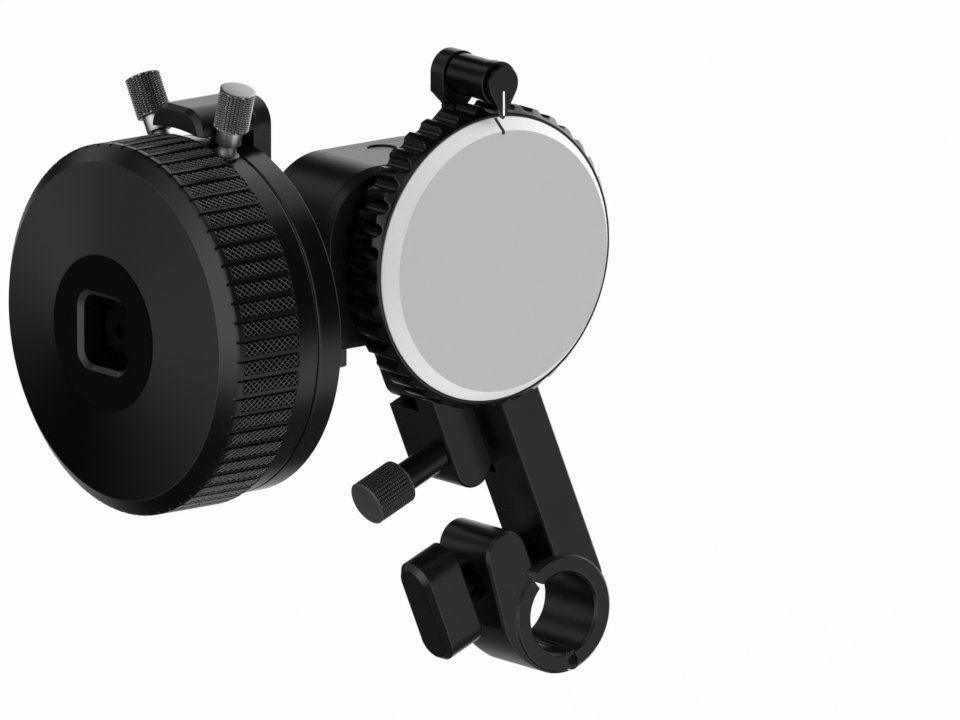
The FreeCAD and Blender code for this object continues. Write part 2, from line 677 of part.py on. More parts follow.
def half_ring(sign):
    """Half of the clamp ring: sign -1 for the arm's side, 1 for the jaw's side."""
    top = S.split_angle
    foot = S.pin_angle
    shift = HALF_SPLIT * sign
    middle = (top + foot) / 2 + (0 if sign > 0 else 180)
    outer = S.ring_radius
    inner = S.rod_radius
    start_out = ring_point(root(outer * outer - shift * shift), top, shift)
    start_in = ring_point(root(inner * inner - shift * shift), top, shift)
    end_out = ring_point(root(outer * outer - shift * shift), foot, -shift)
    end_in = ring_point(root(inner * inner - shift * shift), foot, -shift)
    far_out = ring_point(outer, middle)
    far_in = ring_point(inner, middle)
    return [(*start_out, outer * sign), (*far_out, outer * sign), end_out,
            (*end_in, inner * -sign), (*far_in, inner * -sign), start_in]


def add_collar(body, sign):
    """The ring's half with its proud, chamfered collar."""
    pad(body, "y", S.arm_front - S.collar_proud, S.arm_depth + S.collar_proud * 2,
        half_ring(sign))
    front = S.arm_front - S.collar_proud

    def outer_edge(edge):
        middle = edge.valueAt((edge.FirstParameter + edge.LastParameter) / 2)
        reach = math.hypot(middle.x, middle.z)
        return on_level("y", front)(edge) and abs(reach - S.ring_radius.value) < 1e-3

    def inner_edge(edge):
        middle = edge.valueAt((edge.FirstParameter + edge.LastParameter) / 2)
        reach = math.hypot(middle.x, middle.z)
        return on_level("y", front)(edge) and abs(reach - S.rod_radius.value) < 1e-3
    chamfer(body, S.collar_chamfer, outer_edge)
    chamfer(body, S.mouth_chamfer, inner_edge)


def make_clamp_arm():
    body = arm_body("clamp_arm")
    add_collar(body, -1)
    # the bar: its right side is tangent to the ring, its foot lies inside the ring
    round_end = S.arm_width / 2
    foot = root(S.ring_radius * S.ring_radius - ARM_RIGHT * ARM_RIGHT * 0.96)
    bar = [(S.arm_left, root(S.ring_radius * S.ring_radius
                             - S.arm_left * S.arm_left) - S.collar_chamfer),
           (ARM_RIGHT - S.collar_chamfer, foot),
           (ARM_RIGHT, foot + S.collar_chamfer * 2),
           (ARM_RIGHT, S.arm_reach - round_end, round_end),
           (S.arm_left + round_end, S.arm_reach, round_end),
           (S.arm_left, S.arm_reach - round_end)]
    pad(body, "y", S.arm_front, S.arm_depth, bar)
    # T slot in the left face, open at the top
    for half, start, depth in ((S.guide_neck / 2, S.arm_left - 1, S.guide_neck_depth + 1),
                               (S.guide_head / 2, NECK_FLOOR, S.guide_head_depth)):
        slot = [(GUIDE_Y - half, S.guide_foot), (GUIDE_Y + half, S.guide_foot),
                (GUIDE_Y + half, S.arm_reach + 1), (GUIDE_Y - half, S.arm_reach + 1)]
        pocket(body, "x", start, depth, slot)
    # knuckles at both ends of the jaw pin, a gap for the jaw's knuckle, the pin's bore
    half = S.knuckle_length / 2 + S.end_play
    side = S.arm_depth / 2 - half
    pad(body, "y", S.arm_front, side, pin_circle(S.knuckle_radius))
    pad(body, "y", ARM_MIDDLE + half, side, pin_circle(S.knuckle_radius))
    pocket(body, "y", ARM_MIDDLE - half, half * 2, pin_circle(S.knuckle_radius + S.end_play))
    pocket(body, "y", S.arm_front - 1, S.arm_depth + 2, pin_circle(S.pin_radius))
    # threaded bore for the wing screw
    pocket(body, "x", S.jaw_q, S.arm_left - S.jaw_q + S.stud_tail + 0.5,
           ("circle", ARM_MIDDLE, S.wing_p, S.stud_radius + S.thread_gap))
    chamfer(body, S.arm_chamfer, lambda edge: bar_edge(edge))


def bar_edge(edge):
    """A long edge or the round end of the arm's bar, on its front or back face."""
    box = edge.BoundBox
    flat = any(on_level("y", level)(edge) for level in (S.arm_front, ARM_BACK))
    return flat and box.ZMax > S.arm_reach.value * 0.6 and box.XMax > S.arm_left.value + 0.5


def make_jaw_pin():
    body = arm_body("jaw_pin")
    pad(body, "y", S.arm_front, S.arm_depth, pin_circle(S.pin_radius))


def make_clamp_jaw():
    body = arm_body("clamp_jaw")
    add_collar(body, 1)
    # a round head, then a belly that hugs the ring and runs out at its foot
    inside = S.ring_radius - S.jaw_hug
    head_left = S.jaw_q - S.jaw_radius
    head_right = S.jaw_q + S.jaw_radius
    outline = [(head_right, S.jaw_p, S.jaw_radius),
               (S.jaw_q, S.jaw_p + S.jaw_radius, S.jaw_radius),
               (head_left, S.jaw_p),
               (-S.jaw_belly, S.jaw_belly_p, S.jaw_back),
               ring_point(S.ring_radius, S.jaw_runout),
               (*ring_point(inside, S.jaw_runout), -inside),
               ring_point(inside, S.split_angle + S.jaw_hook),
               ring_point(S.ring_radius + S.jaw_lift, S.split_angle + S.split_gap * 2),
               (head_right, S.ring_radius + S.jaw_lift)]
    pad(body, "y", S.arm_front, S.arm_depth, outline)
    chamfer(body, S.jaw_chamfer, lambda edge: on_level("y", S.arm_front)(edge)
            and edge.BoundBox.ZMax > S.jaw_p.value)
    half = S.knuckle_length / 2
    pad(body, "y", ARM_MIDDLE - half, half * 2, pin_circle(S.knuckle_radius))
    clear = S.knuckle_radius + S.end_play
    side = S.arm_depth / 2 - half + S.collar_proud
    pocket(body, "y", S.arm_front - S.collar_proud, side, pin_circle(clear))
    pocket(body, "y", ARM_MIDDLE + half, side, pin_circle(clear))
    pocket(body, "y", S.arm_front - 1, S.arm_depth + 2,
           pin_circle(S.pin_radius + S.hinge_fit))
    # slack bore for the stud and a flat seat for the washer
    pocket(body, "x", -S.jaw_belly - 1, S.jaw_belly + 1,
           ("circle", ARM_MIDDLE, S.wing_p, S.stud_radius + S.stud_slack))
    pocket(body, "x", -S.jaw_belly - 1, JAW_SEAT + S.jaw_belly + 1,
           ("circle", ARM_MIDDLE, S.wing_p, S.washer_radius + S.stud_slack))


def turned(label, q, p, y=ARM_MIDDLE):
    """A body whose X axis points out of the arm's left side, from (q, p)."""
    x_here, z_here = arm_point(q, p)
    return new_body(label, x=x_here, y=y, z=z_here, axis=Y_AXIS, angle=180 - S.arm_tilt)


def make_wing_screw():
    washer = turned("wing_washer", JAW_SEAT, S.wing_p)
    tube(washer, S.thread_gap, S.washer_thick, S.washer_radius, S.stud_radius + S.hinge_fit)
    # neck and stud are turned from one bar, the wing is pressed on to it
    stud = turned("wing_stud", JAW_SEAT, S.wing_p)
    start = -(S.arm_left - JAW_SEAT + S.stud_tail)
    neck_end = JAW_SEAT - S.wing_inner
    turn(stud, [(start, 0), (neck_end + S.wing_depth / 2, 0),
                (neck_end + S.wing_depth / 2, S.stud_radius),
                (neck_end, S.stud_radius), (neck_end, S.wing_neck),
                (S.washer_thick + S.thread_gap, S.wing_neck),
                (S.washer_thick + S.thread_gap, S.stud_radius),
                (start + 0.4, S.stud_radius), (start, S.stud_radius - 0.4)])
    wing = turned("wing_knob", JAW_SEAT, S.wing_p)
    half = S.wing_thick / 2
    reach = S.wing_length / 2 - half
    pad(wing, "x", neck_end, S.wing_depth, capsule(size(0), -reach, reach, half))
    pocket(wing, "x", neck_end - 1, S.wing_depth / 2 + 1,
           ("circle", 0, 0, S.stud_radius))
    chamfer(wing, S.wing_chamfer, on_level("x", neck_end + S.wing_depth))


# ---- slide block and lock knob ---------------------------------------------------

def make_slide_block():
    body = arm_body("slide_block")
    side_left = S.block_q - S.block_radius
    side_right = S.block_q + S.block_radius
    radius = S.block_radius
    plate = [(side_right, S.block_foot), (side_right, S.block_top),
             (side_left, S.block_top), (side_left, S.block_foot, radius),
             (S.block_q, S.block_foot - radius, radius)]
    pad(body, "y", BLOCK_FRONT, S.block_plate, plate)
    lower = [(side_right, S.block_foot), (side_right, S.block_shelf),
             (side_left, S.block_shelf), (side_left, S.block_foot, radius),
             (S.block_q, S.block_foot - radius, radius)]
    pad(body, "y", BLOCK_FRONT + S.block_plate, S.block_depth - S.block_plate, lower)
    # tongue: a neck and a head that run in the arm's T slot
    tongue_foot = S.block_foot - S.block_radius + S.tongue_inset
    tongue_length = S.block_shelf - tongue_foot
    neck = S.guide_neck / 2 - S.slide_fit
    head = S.guide_head / 2 - S.slide_fit
    for half, start, end in ((neck, side_right - 0.5, NECK_FLOOR + S.slide_fit + 0.2),
                             (head, NECK_FLOOR + S.slide_fit, HEAD_FLOOR - S.slide_fit)):
        bar = [(GUIDE_Y - half, tongue_foot), (GUIDE_Y + half, tongue_foot),
               (GUIDE_Y + half, tongue_foot + tongue_length),
               (GUIDE_Y - half, tongue_foot + tongue_length)]
        pad(body, "x", start, end - start, bar)
    # bore of the lock screw, from the left face to the end of the tongue
    pocket(body, "x", side_left - 1, HEAD_FLOOR - side_left + 2,
           ("circle", GUIDE_Y, S.lock_p, S.lock_stud + S.thread_gap))
    # counterbored holes for the two screws that hold the housing's foot
    for reach in (S.foot_screw_low, S.foot_screw_high):
        pocket(body, "y", BLOCK_FRONT - 1, S.foot_screw_head + 1,
               ("circle", S.block_q, reach, S.foot_head_radius + S.slide_fit))
        pocket(body, "y", BLOCK_FRONT - 1, S.block_plate + 2,
               ("circle", S.block_q, reach, S.foot_screw_radius))
    chamfer(body, S.block_chamfer, lambda edge: on_level("y", BLOCK_FRONT)(edge)
            and edge.BoundBox.XLength + edge.BoundBox.ZLength > S.foot_head_radius.value * 5)


def make_foot_screws():
    """Two socket-head screws: heads in the counterbores, studs in the foot."""
    body = arm_body("foot_screws")
    front = BLOCK_FRONT
    for reach in (S.foot_screw_low, S.foot_screw_high):
        pad(body, "y", front + S.foot_screw_sink, S.foot_screw_head - S.foot_screw_sink,
            ("circle", S.block_q, reach, S.foot_head_radius),
            ("circle", S.block_q, reach, S.foot_screw_key))
        pad(body, "y", front + S.foot_screw_head, S.foot_screw_length,
            ("circle", S.block_q, reach, S.foot_screw_radius))


def make_lock_knob():
    left = S.block_q - S.block_radius
    knob = turned("lock_knob", left, S.lock_p, y=GUIDE_Y)
    tip = -(HEAD_FLOOR - left) + S.lock_pad + S.slide_fit
    head = S.lock_neck + S.lock_head
    edge = S.lock_chamfer
    turn(knob, [(tip, 0), (head, 0), (head, S.lock_radius - edge),
                (head - edge, S.lock_radius), (S.lock_neck + edge, S.lock_radius),
                (S.lock_neck, S.lock_radius - edge), (S.lock_neck, S.lock_neck_radius),
                (S.thread_gap, S.lock_neck_radius), (S.thread_gap, S.lock_stud),
                (tip, S.lock_stud)])
    tip_pad = turned("lock_pad", left, S.lock_p, y=GUIDE_Y)
    rod(tip_pad, tip - S.lock_pad, tip, S.lock_stud)


# ---- gearbox ---------------------------------------------------------------------

def box_outline():
    """Outline of the gearbox seen along Y: round shoulders and small toes."""
    shoulder = S.box_shoulder
    toe = S.box_toe
    return [(BOX_RIGHT, BOX_BOTTOM + toe), (BOX_RIGHT, BOX_TOP - shoulder, shoulder),
            (BOX_RIGHT - shoulder, BOX_TOP), (BOX_LEFT + shoulder, BOX_TOP, shoulder),
            (BOX_LEFT, BOX_TOP - shoulder), (BOX_LEFT, BOX_BOTTOM + toe, toe),
            (BOX_LEFT + toe, BOX_BOTTOM), (BOX_RIGHT - toe, BOX_BOTTOM, toe)]


def p_at(q, z):
    """The p at which a line of the arm's frame reaches a height z."""
    return (z - sine(S.arm_tilt) * q) / cosine(S.arm_tilt)


def foot_outline(top):
    """The gearbox's foot: it follows the arm and has a round lower end."""
    radius = S.foot_radius
    right = S.block_q + radius
    left = S.block_q - radius
    low = S.block_shelf + S.foot_gap + radius
    return [arm_point(right, low), arm_point(right, p_at(right, top)),
            arm_point(left, p_at(left, top)), (*arm_point(left, low), radius),
            (*arm_point(S.block_q, low - radius), radius)]


def cover_screw_spots():
    """Where the four cover screws stand, clear of the gear chamber."""
    upper = BOX_TOP - S.cover_screw_top
    lower = BOX_BOTTOM + S.cover_screw_low
    side = S.cover_screw_side
    return [(BOX_LEFT + side, upper), (BOX_RIGHT - side, upper),
            (BOX_RIGHT - S.cover_screw_low, lower), (BOX_LEFT + S.cover_screw_left, lower)]


def make_gearbox():
    body = new_body("gearbox_housing")
    pad(body, "y", BOX_FRONT, S.box_depth, box_outline())
    chamfer(body, S.box_chamfer, on_level("y", BOX_FRONT))
    foot_front = BLOCK_FRONT + S.block_plate + S.foot_gap
    pad(body, "y", foot_front, BOX_BACK - foot_front, foot_outline(BOX_BOTTOM + S.box_toe))
    pad(body, "y", BOX_BACK, S.cover_thick, foot_outline(BOX_BOTTOM - S.foot_gap))
    # gear chamber, open at the back
    left = S.output_x - S.chamber_left
    right = BOX_RIGHT - S.box_wall
    low = S.axis_z - S.chamber_low
    top = OUTPUT_Z + S.chamber_top
    front = BOX_FRONT + S.box_wall
    pocket(body, "y", front, BOX_BACK - front + 1,
           [(left, low), (right, low), (right, top), (left, top)])
    # seat of the front output bearing
    output = (S.output_x, OUTPUT_Z)
    pocket(body, "y", front - S.bearing_width, S.bearing_width + 0.1,
           ("circle", *output, S.bearing_radius))
    pocket(body, "y", BOX_FRONT - 1, S.box_wall + 1, ("circle", *output, S.lip_radius))
    # bores for the wheel shaft: neck tail, shaft, inner bearing and end bush
    wheel = (S.axis_y, S.axis_z)
    pocket(body, "x", BOX_LEFT - 1, S.tail_length + 1, ("circle", *wheel, S.tail_radius))
    pocket(body, "x", BOX_LEFT - 1, left - BOX_LEFT + 1, ("circle", *wheel, S.neck_bore))
    pocket(body, "x", left - S.bearing_width, S.bearing_width + 0.1,
           ("circle", *wheel, S.bearing_radius))
    pocket(body, "x", right - 0.1, S.bush_width + 0.1, ("circle", *wheel, S.bush_radius))
    # holes for the screws, the plug and the drag screw
    for spot in cover_screw_spots():
        pocket(body, "y", BOX_BACK - S.cover_screw_length, S.cover_screw_length + 0.1,
               ("circle", *spot, S.cover_screw_radius))
    for side in (-1, 1):
        pocket(body, "y", BOX_FRONT - 0.1, S.post_screw_length + 0.2,
               ("circle", S.output_x + S.post_screw_gap * side,
                OUTPUT_Z + S.post_screw, S.post_screw_radius))
    pocket(body, "z", BOX_TOP - S.plug_depth, S.plug_depth + 1,
           ("circle", PLUG_X, PLUG_Y, S.plug_radius))
    drag_depth = S.axis_z - S.neck_bore - BOX_BOTTOM
    pocket(body, "z", BOX_BOTTOM - 1, drag_depth + 2,
           ("circle", DRAG_X, S.axis_y, S.drag_stud + S.thread_gap))
    # holes in the foot for its screws, square to the arm
    for reach in (S.foot_screw_low, S.foot_screw_high):
        spot = arm_point(S.block_q, reach)
        pocket(body, "y", foot_front - 0.1, S.foot_screw_length - S.block_plate + 2.2,
               ("circle", *spot, S.foot_screw_radius))


def make_cover():
    body = new_body("gearbox_cover")
    pad(body, "y", BOX_BACK, S.cover_thick, box_outline())
    chamfer(body, S.cover_chamfer, on_level("y", COVER_BACK))
    output = (S.output_x, OUTPUT_Z)
    pocket(body, "y", BOX_BACK - 0.1, S.cover_thick - S.bearing_lip + 0.1,
           ("circle", *output, S.bearing_radius))
    pocket(body, "y", BOX_BACK, S.cover_thick + 1, ("circle", *output, S.lip_radius))
    screws = new_body("cover_screws")
    seat = COVER_BACK - S.cover_head - S.cover_head_sink
    tip = COVER_BACK - S.cover_screw_length
    for spot in cover_screw_spots():
        pocket(body, "y", BOX_BACK - 0.1, S.cover_thick + 1,
               ("circle", *spot, S.cover_screw_radius))
        pocket(body, "y", seat, S.cover_thick,
               ("circle", *spot, S.cover_head_radius + S.slide_fit))
        pad(screws, "y", seat, S.cover_head,
            ("circle", *spot, S.cover_head_radius), ("circle", *spot, S.cover_screw_key))
        pad(screws, "y", tip, seat - tip, ("circle", *spot, S.cover_screw_radius))


def make_box_fittings():
    plug = new_body("top_plug")
    pad(plug, "z", BOX_TOP - S.plug_depth, S.plug_depth - S.plug_sink,
        ("circle", PLUG_X, PLUG_Y, S.plug_radius))
    drag = new_body("drag_screw")
    under = BOX_BOTTOM - S.thread_gap
    pad(drag, "z", under - S.drag_head, S.drag_head,
        ("circle", DRAG_X, S.axis_y, S.drag_radius))
    tip = S.axis_z - S.wheel_shaft_radius - S.hinge_fit
    pad(drag, "z", under, tip - under, ("circle", DRAG_X, S.axis_y, S.drag_stud))


def make_bearing(label, where, start, shaft_radius):
    """A shielded ball bearing: two races with a sunk shield between them."""
    body = where(label)
    inner = shaft_radius + S.hinge_fit
    outer = S.bearing_radius
    end = start + S.bearing_width
    inner_race = inner + S.bearing_race
    outer_race = outer - S.bearing_race
    sunk = S.bearing_shield
    turn(body, [(start, inner), (end, inner), (end, inner_race), (end - sunk, inner_race),
                (end - sunk, outer_race), (end, outer_race), (end, outer), (start, outer),
                (start, outer_race), (start + sunk, outer_race),
                (start + sunk, inner_race), (start, inner_race)])


# ---- output axis -----------------------------------------------------------------

def output_at(y):
    """Distance of a y behind the marking disc's edge."""
    return y - DISC_EDGE


def make_marking_wheel():
    body = output_body("marking_wheel")
    recess = S.disc_radius + S.disc_fit
    lip = recess + S.wheel_lip
    front = S.wheel_lip_front
    shaft = S.output_shaft_radius
    pocket_end = S.disc_seat + S.magnet_thick
    back = S.wheel_thick
    inside = WHEEL_RIM - S.wheel_wall
    turn(body, [(pocket_end, shaft), (pocket_end, S.magnet_radius),
                (S.disc_seat, S.magnet_radius), (S.disc_seat, recess), (front, recess),
                (front, lip), (front + S.wheel_slope, WHEEL_RIM),
                (back + S.wheel_skirt, WHEEL_RIM), (back + S.wheel_skirt, inside),
                (back, inside), (back, S.hub_boss),
                (back + S.hub_boss_height, S.hub_boss), (back + S.hub_boss_height, shaft)])
    # one scallop, then the rest round the wheel
    middle = WHEEL_RIM - S.scallop_depth + S.scallop_radius
    cut = pocket(body, "x", 0, back + S.wheel_skirt + 1,
                 ("circle", 0, middle, S.scallop_radius))
    around(body, cut, S.scallop_count)


def make_marking_disc():
    disc = output_body("marking_disc")
    turn(disc, [(-S.disc_proud, 0), (-S.disc_proud, DISC_FACE),
                (size(0), S.disc_radius), (S.disc_seat, S.disc_radius), (S.disc_seat, 0)])
    magnet = output_body("disc_magnet")
    tube(magnet, S.disc_seat, S.disc_seat + S.magnet_thick, S.magnet_radius, S.magnet_bore)


def make_output_shaft():
    shaft = output_body("output_shaft")
    step = output_at(S.axis_y) - S.screw_width / 2
    end = output_at(COVER_BACK) + S.drive_gap + S.drive_width
    front = S.disc_seat + S.magnet_thick
    tapped = end - S.drive_screw_length
    turn(shaft, [(front, 0), (tapped, 0), (tapped, S.drive_screw_stud),
                 (end, S.drive_screw_stud), (end, S.gear_shaft_radius),
                 (step, S.gear_shaft_radius), (step, S.output_shaft_radius),
                 (front, S.output_shaft_radius)])
    hub = output_body("drive_hub")
    hub_start = output_at(S.axis_y) + S.screw_width / 2
    tube(hub, hub_start, end, S.output_shaft_radius, S.gear_shaft_radius)
    screw = output_body("drive_screw")
    head = end + S.drive_screw_height
    turn(screw, [(tapped, 0), (head, 0), (head, S.drive_screw_head),
                 (end, S.drive_screw_head), (end, S.drive_screw_stud),
                 (tapped, S.drive_screw_stud)])
    key = ("circle", 0, 0, S.shaft_screw_key)
    pocket(screw, "x", end + S.drive_screw_height * 0.4, S.drive_screw_height, key)


def make_drive_gear():
    """A spur gear: a turned blank, one tooth space, then the rest round it."""
    body = output_body("drive_gear")
    start = output_at(COVER_BACK) + S.drive_gap
    end = start + S.drive_width
    pitch = S.drive_module * S.drive_teeth / 2
    tip = pitch + S.drive_module
    floor = pitch - S.drive_module * 1.25
    bore = S.output_shaft_radius
    turn(body, [(start, bore), (start, tip), (end, tip), (end, S.drive_recess),
                (end - S.drive_recess_depth, S.drive_recess),
                (end - S.drive_recess_depth, S.drive_screw_head + S.seat_room),
                (end, S.drive_screw_head + S.seat_room), (end, bore)])
    lean = tangent(S.pressure_angle)
    middle = S.drive_module * math.pi / 4
    over = 0.3
    low_half = middle - S.drive_module * 1.25 * lean
    high_half = middle + (S.drive_module + over) * lean
    space = [(-low_half, floor), (low_half, floor), (high_half, tip + over),
             (-high_half, tip + over)]
    cut = pocket(body, "x", start - 1, S.drive_width + 2, space)
    around(body, cut, S.drive_teeth)


# ---- hand wheel ------------------------------------------------------------------

RING_OUTER = S.rim_radius - S.ring_step
JOURNAL = RING_OUTER - S.ring_wall
JOURNAL_BORE = JOURNAL - S.journal_wall
DISH_RADIUS = S.rim_radius - S.rim_slope
BAR_TOP = RING_OUTER + S.bar_clear + S.bar_thick
RINGS_START = S.rim_end + S.ring_play
RING_TWO = RINGS_START + S.ring_width + S.ring_gap
RINGS_END = RING_TWO + S.ring_width
STRAP_FRONT = RINGS_END + S.strap_gap
STRAP_BACK = STRAP_FRONT + S.strap_thick


def make_hand_wheel():
    rim = wheel_body("handwheel_rim")
    dish = S.dish_fall
    seat = dish + S.face_thick
    shoulder = dish + S.rim_bevel
    turn(rim, [(dish, DISH_RADIUS), (shoulder, S.rim_radius),
               (S.rim_end, S.rim_radius), (S.rim_end, JOURNAL),
               (RINGS_END, JOURNAL), (RINGS_END, JOURNAL_BORE),
               (seat, JOURNAL_BORE), (seat, DISH_RADIUS)])
    # one groove with a round front end, then the rest round the rim
    half = S.groove_half
    start = S.groove_front + half
    groove = [(start, -half), (S.rim_end + 1, -half), (S.rim_end + 1, half),
              (start, half, half), (S.groove_front, 0, half)]
    cut = pocket(rim, "z", S.rim_radius - S.groove_depth, S.groove_depth + 1, groove)
    around(rim, cut, S.groove_count)

    face = wheel_body("handwheel_face")
    shaft = S.wheel_shaft_radius
    turn(face, [(S.socket_depth, shaft), (S.socket_depth, S.hub_radius),
                (S.hub_step, S.hub_radius), (dish, DISH_RADIUS), (seat, DISH_RADIUS),
                (seat, JOURNAL_BORE), (S.web_back, JOURNAL_BORE),
                (S.web_back, S.sleeve_radius), (S.sleeve_end, S.sleeve_radius),
                (S.sleeve_end, shaft)])

    hub = wheel_body("socket_hub")
    half = S.socket_width / 2
    bend = S.socket_corner
    square = [(half, -half + bend), (half, half - bend, bend), (half - bend, half),
              (-half + bend, half, bend), (-half, half - bend), (-half, -half + bend, bend),
              (-half + bend, -half), (half - bend, -half, bend)]
    pad(hub, "x", 0, S.socket_depth, ("circle", 0, 0, S.hub_radius), square)
    chamfer(hub, S.socket_chamfer, lambda edge: on_level("x", 0)(edge)
            and max(edge.BoundBox.YMax, edge.BoundBox.ZMax) < S.hub_radius.value - 1)


def make_wheel_shaft():
    shaft = wheel_body("wheel_shaft")
    gear_start = S.output_x - FACE_X - S.screw_width / 2
    end = BOX_RIGHT - S.box_wall + S.bush_width - S.end_play - FACE_X
    front = S.socket_depth
    tapped = front + S.shaft_screw_length
    turn(shaft, [(tapped, 0), (end, 0), (end, S.gear_shaft_radius),
                 (gear_start, S.gear_shaft_radius), (gear_start, S.wheel_shaft_radius),
                 (front, S.wheel_shaft_radius), (front, S.shaft_screw_stud),
                 (tapped, S.shaft_screw_stud)])
    screw = wheel_body("wheel_screw")
    head = front - S.shaft_screw_height
    turn(screw, [(head, 0), (tapped, 0), (tapped, S.shaft_screw_stud),
                 (front, S.shaft_screw_stud), (front, S.shaft_screw_head),
                 (head, S.shaft_screw_head)])
    pocket(screw, "x", front - S.shaft_screw_height - 1, S.shaft_screw_height * 0.6 + 1,
           ("circle", 0, 0, S.shaft_screw_key))
    bush = wheel_body("shaft_bush")
    start = BOX_RIGHT - S.box_wall - FACE_X
    tube(bush, start, start + S.bush_width, S.bush_radius,
         S.gear_shaft_radius + S.hinge_fit)


def make_stop_ring(label, start, lean):
    ring = new_body(label, x=FACE_X + start, y=S.axis_y, z=S.axis_z,
                    axis=X_AXIS, angle=lean)
    bore = JOURNAL + S.hinge_fit
    edge = S.ring_edge
    turn(ring, [(size(0), bore), (S.ring_width, bore), (S.ring_width, RING_OUTER - edge),
                (S.ring_width - edge, RING_OUTER), (edge, RING_OUTER),
                (size(0), RING_OUTER - edge)])
    pocket(ring, "z", JOURNAL - 1, RING_OUTER - JOURNAL + 2,
           ("circle", S.ring_width / 2, 0, S.thumb_stud + S.thread_gap))


def make_stop_screw(label, start, lean):
    """A thumbscrew: stud, flared foot with a waist, neck and a knurled head."""
    screw = new_body(label, x=FACE_X + start + S.ring_width / 2, y=S.axis_y, z=S.axis_z,
                     axis=X_AXIS, angle=lean)
    foot = RING_OUTER + S.thread_gap
    waist = foot + S.thumb_foot_height
    neck = waist + S.thumb_neck_height
    top = neck + S.thumb_head_height
    edge = S.thumb_chamfer
    turn_up(screw, [(0, RING_OUTER - S.thumb_reach),
                    (S.thumb_stud, RING_OUTER - S.thumb_reach), (S.thumb_stud, foot),
                    (S.thumb_foot, foot), (S.thumb_foot, foot + edge / 2),
                    (S.thumb_waist, waist - edge), (S.thumb_waist, waist - edge / 2),
                    (S.thumb_neck, waist), (S.thumb_neck, neck),
                    (S.thumb_head - edge, neck), (S.thumb_head, neck + edge),
                    (S.thumb_head, top - edge), (S.thumb_head - edge, top), (0, top)])


# ---- stop bracket and neck -------------------------------------------------------

def bracket_spots():
    """The four bracket screws."""
    reach = S.bracket_screw_at
    return [(reach, reach), (-reach, reach), (-reach, -reach), (reach, -reach)]


def make_stop_bracket():
    body = wheel_body("stop_bracket")
    under = RING_OUTER + S.bar_clear
    half = S.bar_half
    bend = S.bar_corner
    side = root(under * under - half * half)
    bar = [(half, side), (half, BAR_TOP - bend, bend), (half - bend, BAR_TOP),
           (-half + bend, BAR_TOP, bend), (-half, BAR_TOP - bend), (-half, side, -under)]
    pad(body, "x", S.bar_front, STRAP_FRONT - S.bar_front, bar)
    chamfer(body, S.bar_chamfer, lambda edge: on_level("x", S.bar_front)(edge)
            and edge.BoundBox.ZMax > under.value + 0.1)
    wide = S.strap_half
    foot = S.strap_foot
    shoulder = root(foot * foot - wide * wide)
    strap = [(wide, shoulder), (wide, BAR_TOP - bend, bend), (wide - bend, BAR_TOP),
             (-wide + bend, BAR_TOP, bend), (-wide, BAR_TOP - bend),
             (-wide, shoulder, foot), (size(0), -foot, foot)]
    pad(body, "x", STRAP_FRONT, S.strap_thick, strap)
    pocket(body, "x", STRAP_FRONT - 1, S.strap_thick + 2, ("circle", 0, 0, S.spigot_radius))
    for spot in bracket_spots():
        pocket(body, "x", STRAP_FRONT - 1, S.bracket_head_height + 1,
               ("circle", *spot, S.bracket_screw_head + S.slide_fit))
        pocket(body, "x", STRAP_FRONT - 1, S.strap_thick + 2,
               ("circle", *spot, S.bracket_screw_radius))


def make_neck_tube():
    body = wheel_body("neck_tube")
    wall = BOX_LEFT - FACE_X
    flange = STRAP_BACK + S.bracket_flange
    seat = STRAP_FRONT + S.bearing_width
    tail = wall + S.tail_length
    turn(body, [(STRAP_FRONT, S.bearing_radius), (STRAP_FRONT, S.spigot_radius),
                (STRAP_BACK, S.spigot_radius), (STRAP_BACK, S.strap_foot),
                (flange, S.strap_foot), (flange, S.neck_radius), (wall, S.neck_radius),
                (wall, S.tail_radius), (tail, S.tail_radius), (tail, S.neck_bore),
                (seat, S.neck_bore), (seat, S.bearing_radius)])
    for spot in bracket_spots():
        pocket(body, "x", STRAP_BACK - 1, S.bracket_flange + 2,
               ("circle", *spot, S.bracket_screw_radius))
    screws = wheel_body("bracket_screws")
    for spot in bracket_spots():
        pad(screws, "x", STRAP_FRONT, S.bracket_head_height,
            ("circle", *spot, S.bracket_screw_head),
            ("circle", *spot, S.bracket_screw_radius * 0.5))
        pad(screws, "x", STRAP_FRONT + S.bracket_head_height, S.bracket_screw_length,
            ("circle", *spot, S.bracket_screw_radius))


# ---- pointer ---------------------------------------------------------------------

POINTER_Z = OUTPUT_Z + POINTER_RISE
POINTER_TIP = POINTER_RISE - S.disc_radius - S.pointer_clear
PLATE_BACK = DISC_EDGE - S.pointer_lead


def barrel_body(label):
    """A body whose X axis runs forward (-Y) from the front of the pointer's head."""
    return new_body(label, x=S.output_x, y=BOX_FRONT, z=POINTER_Z, angle=-90)


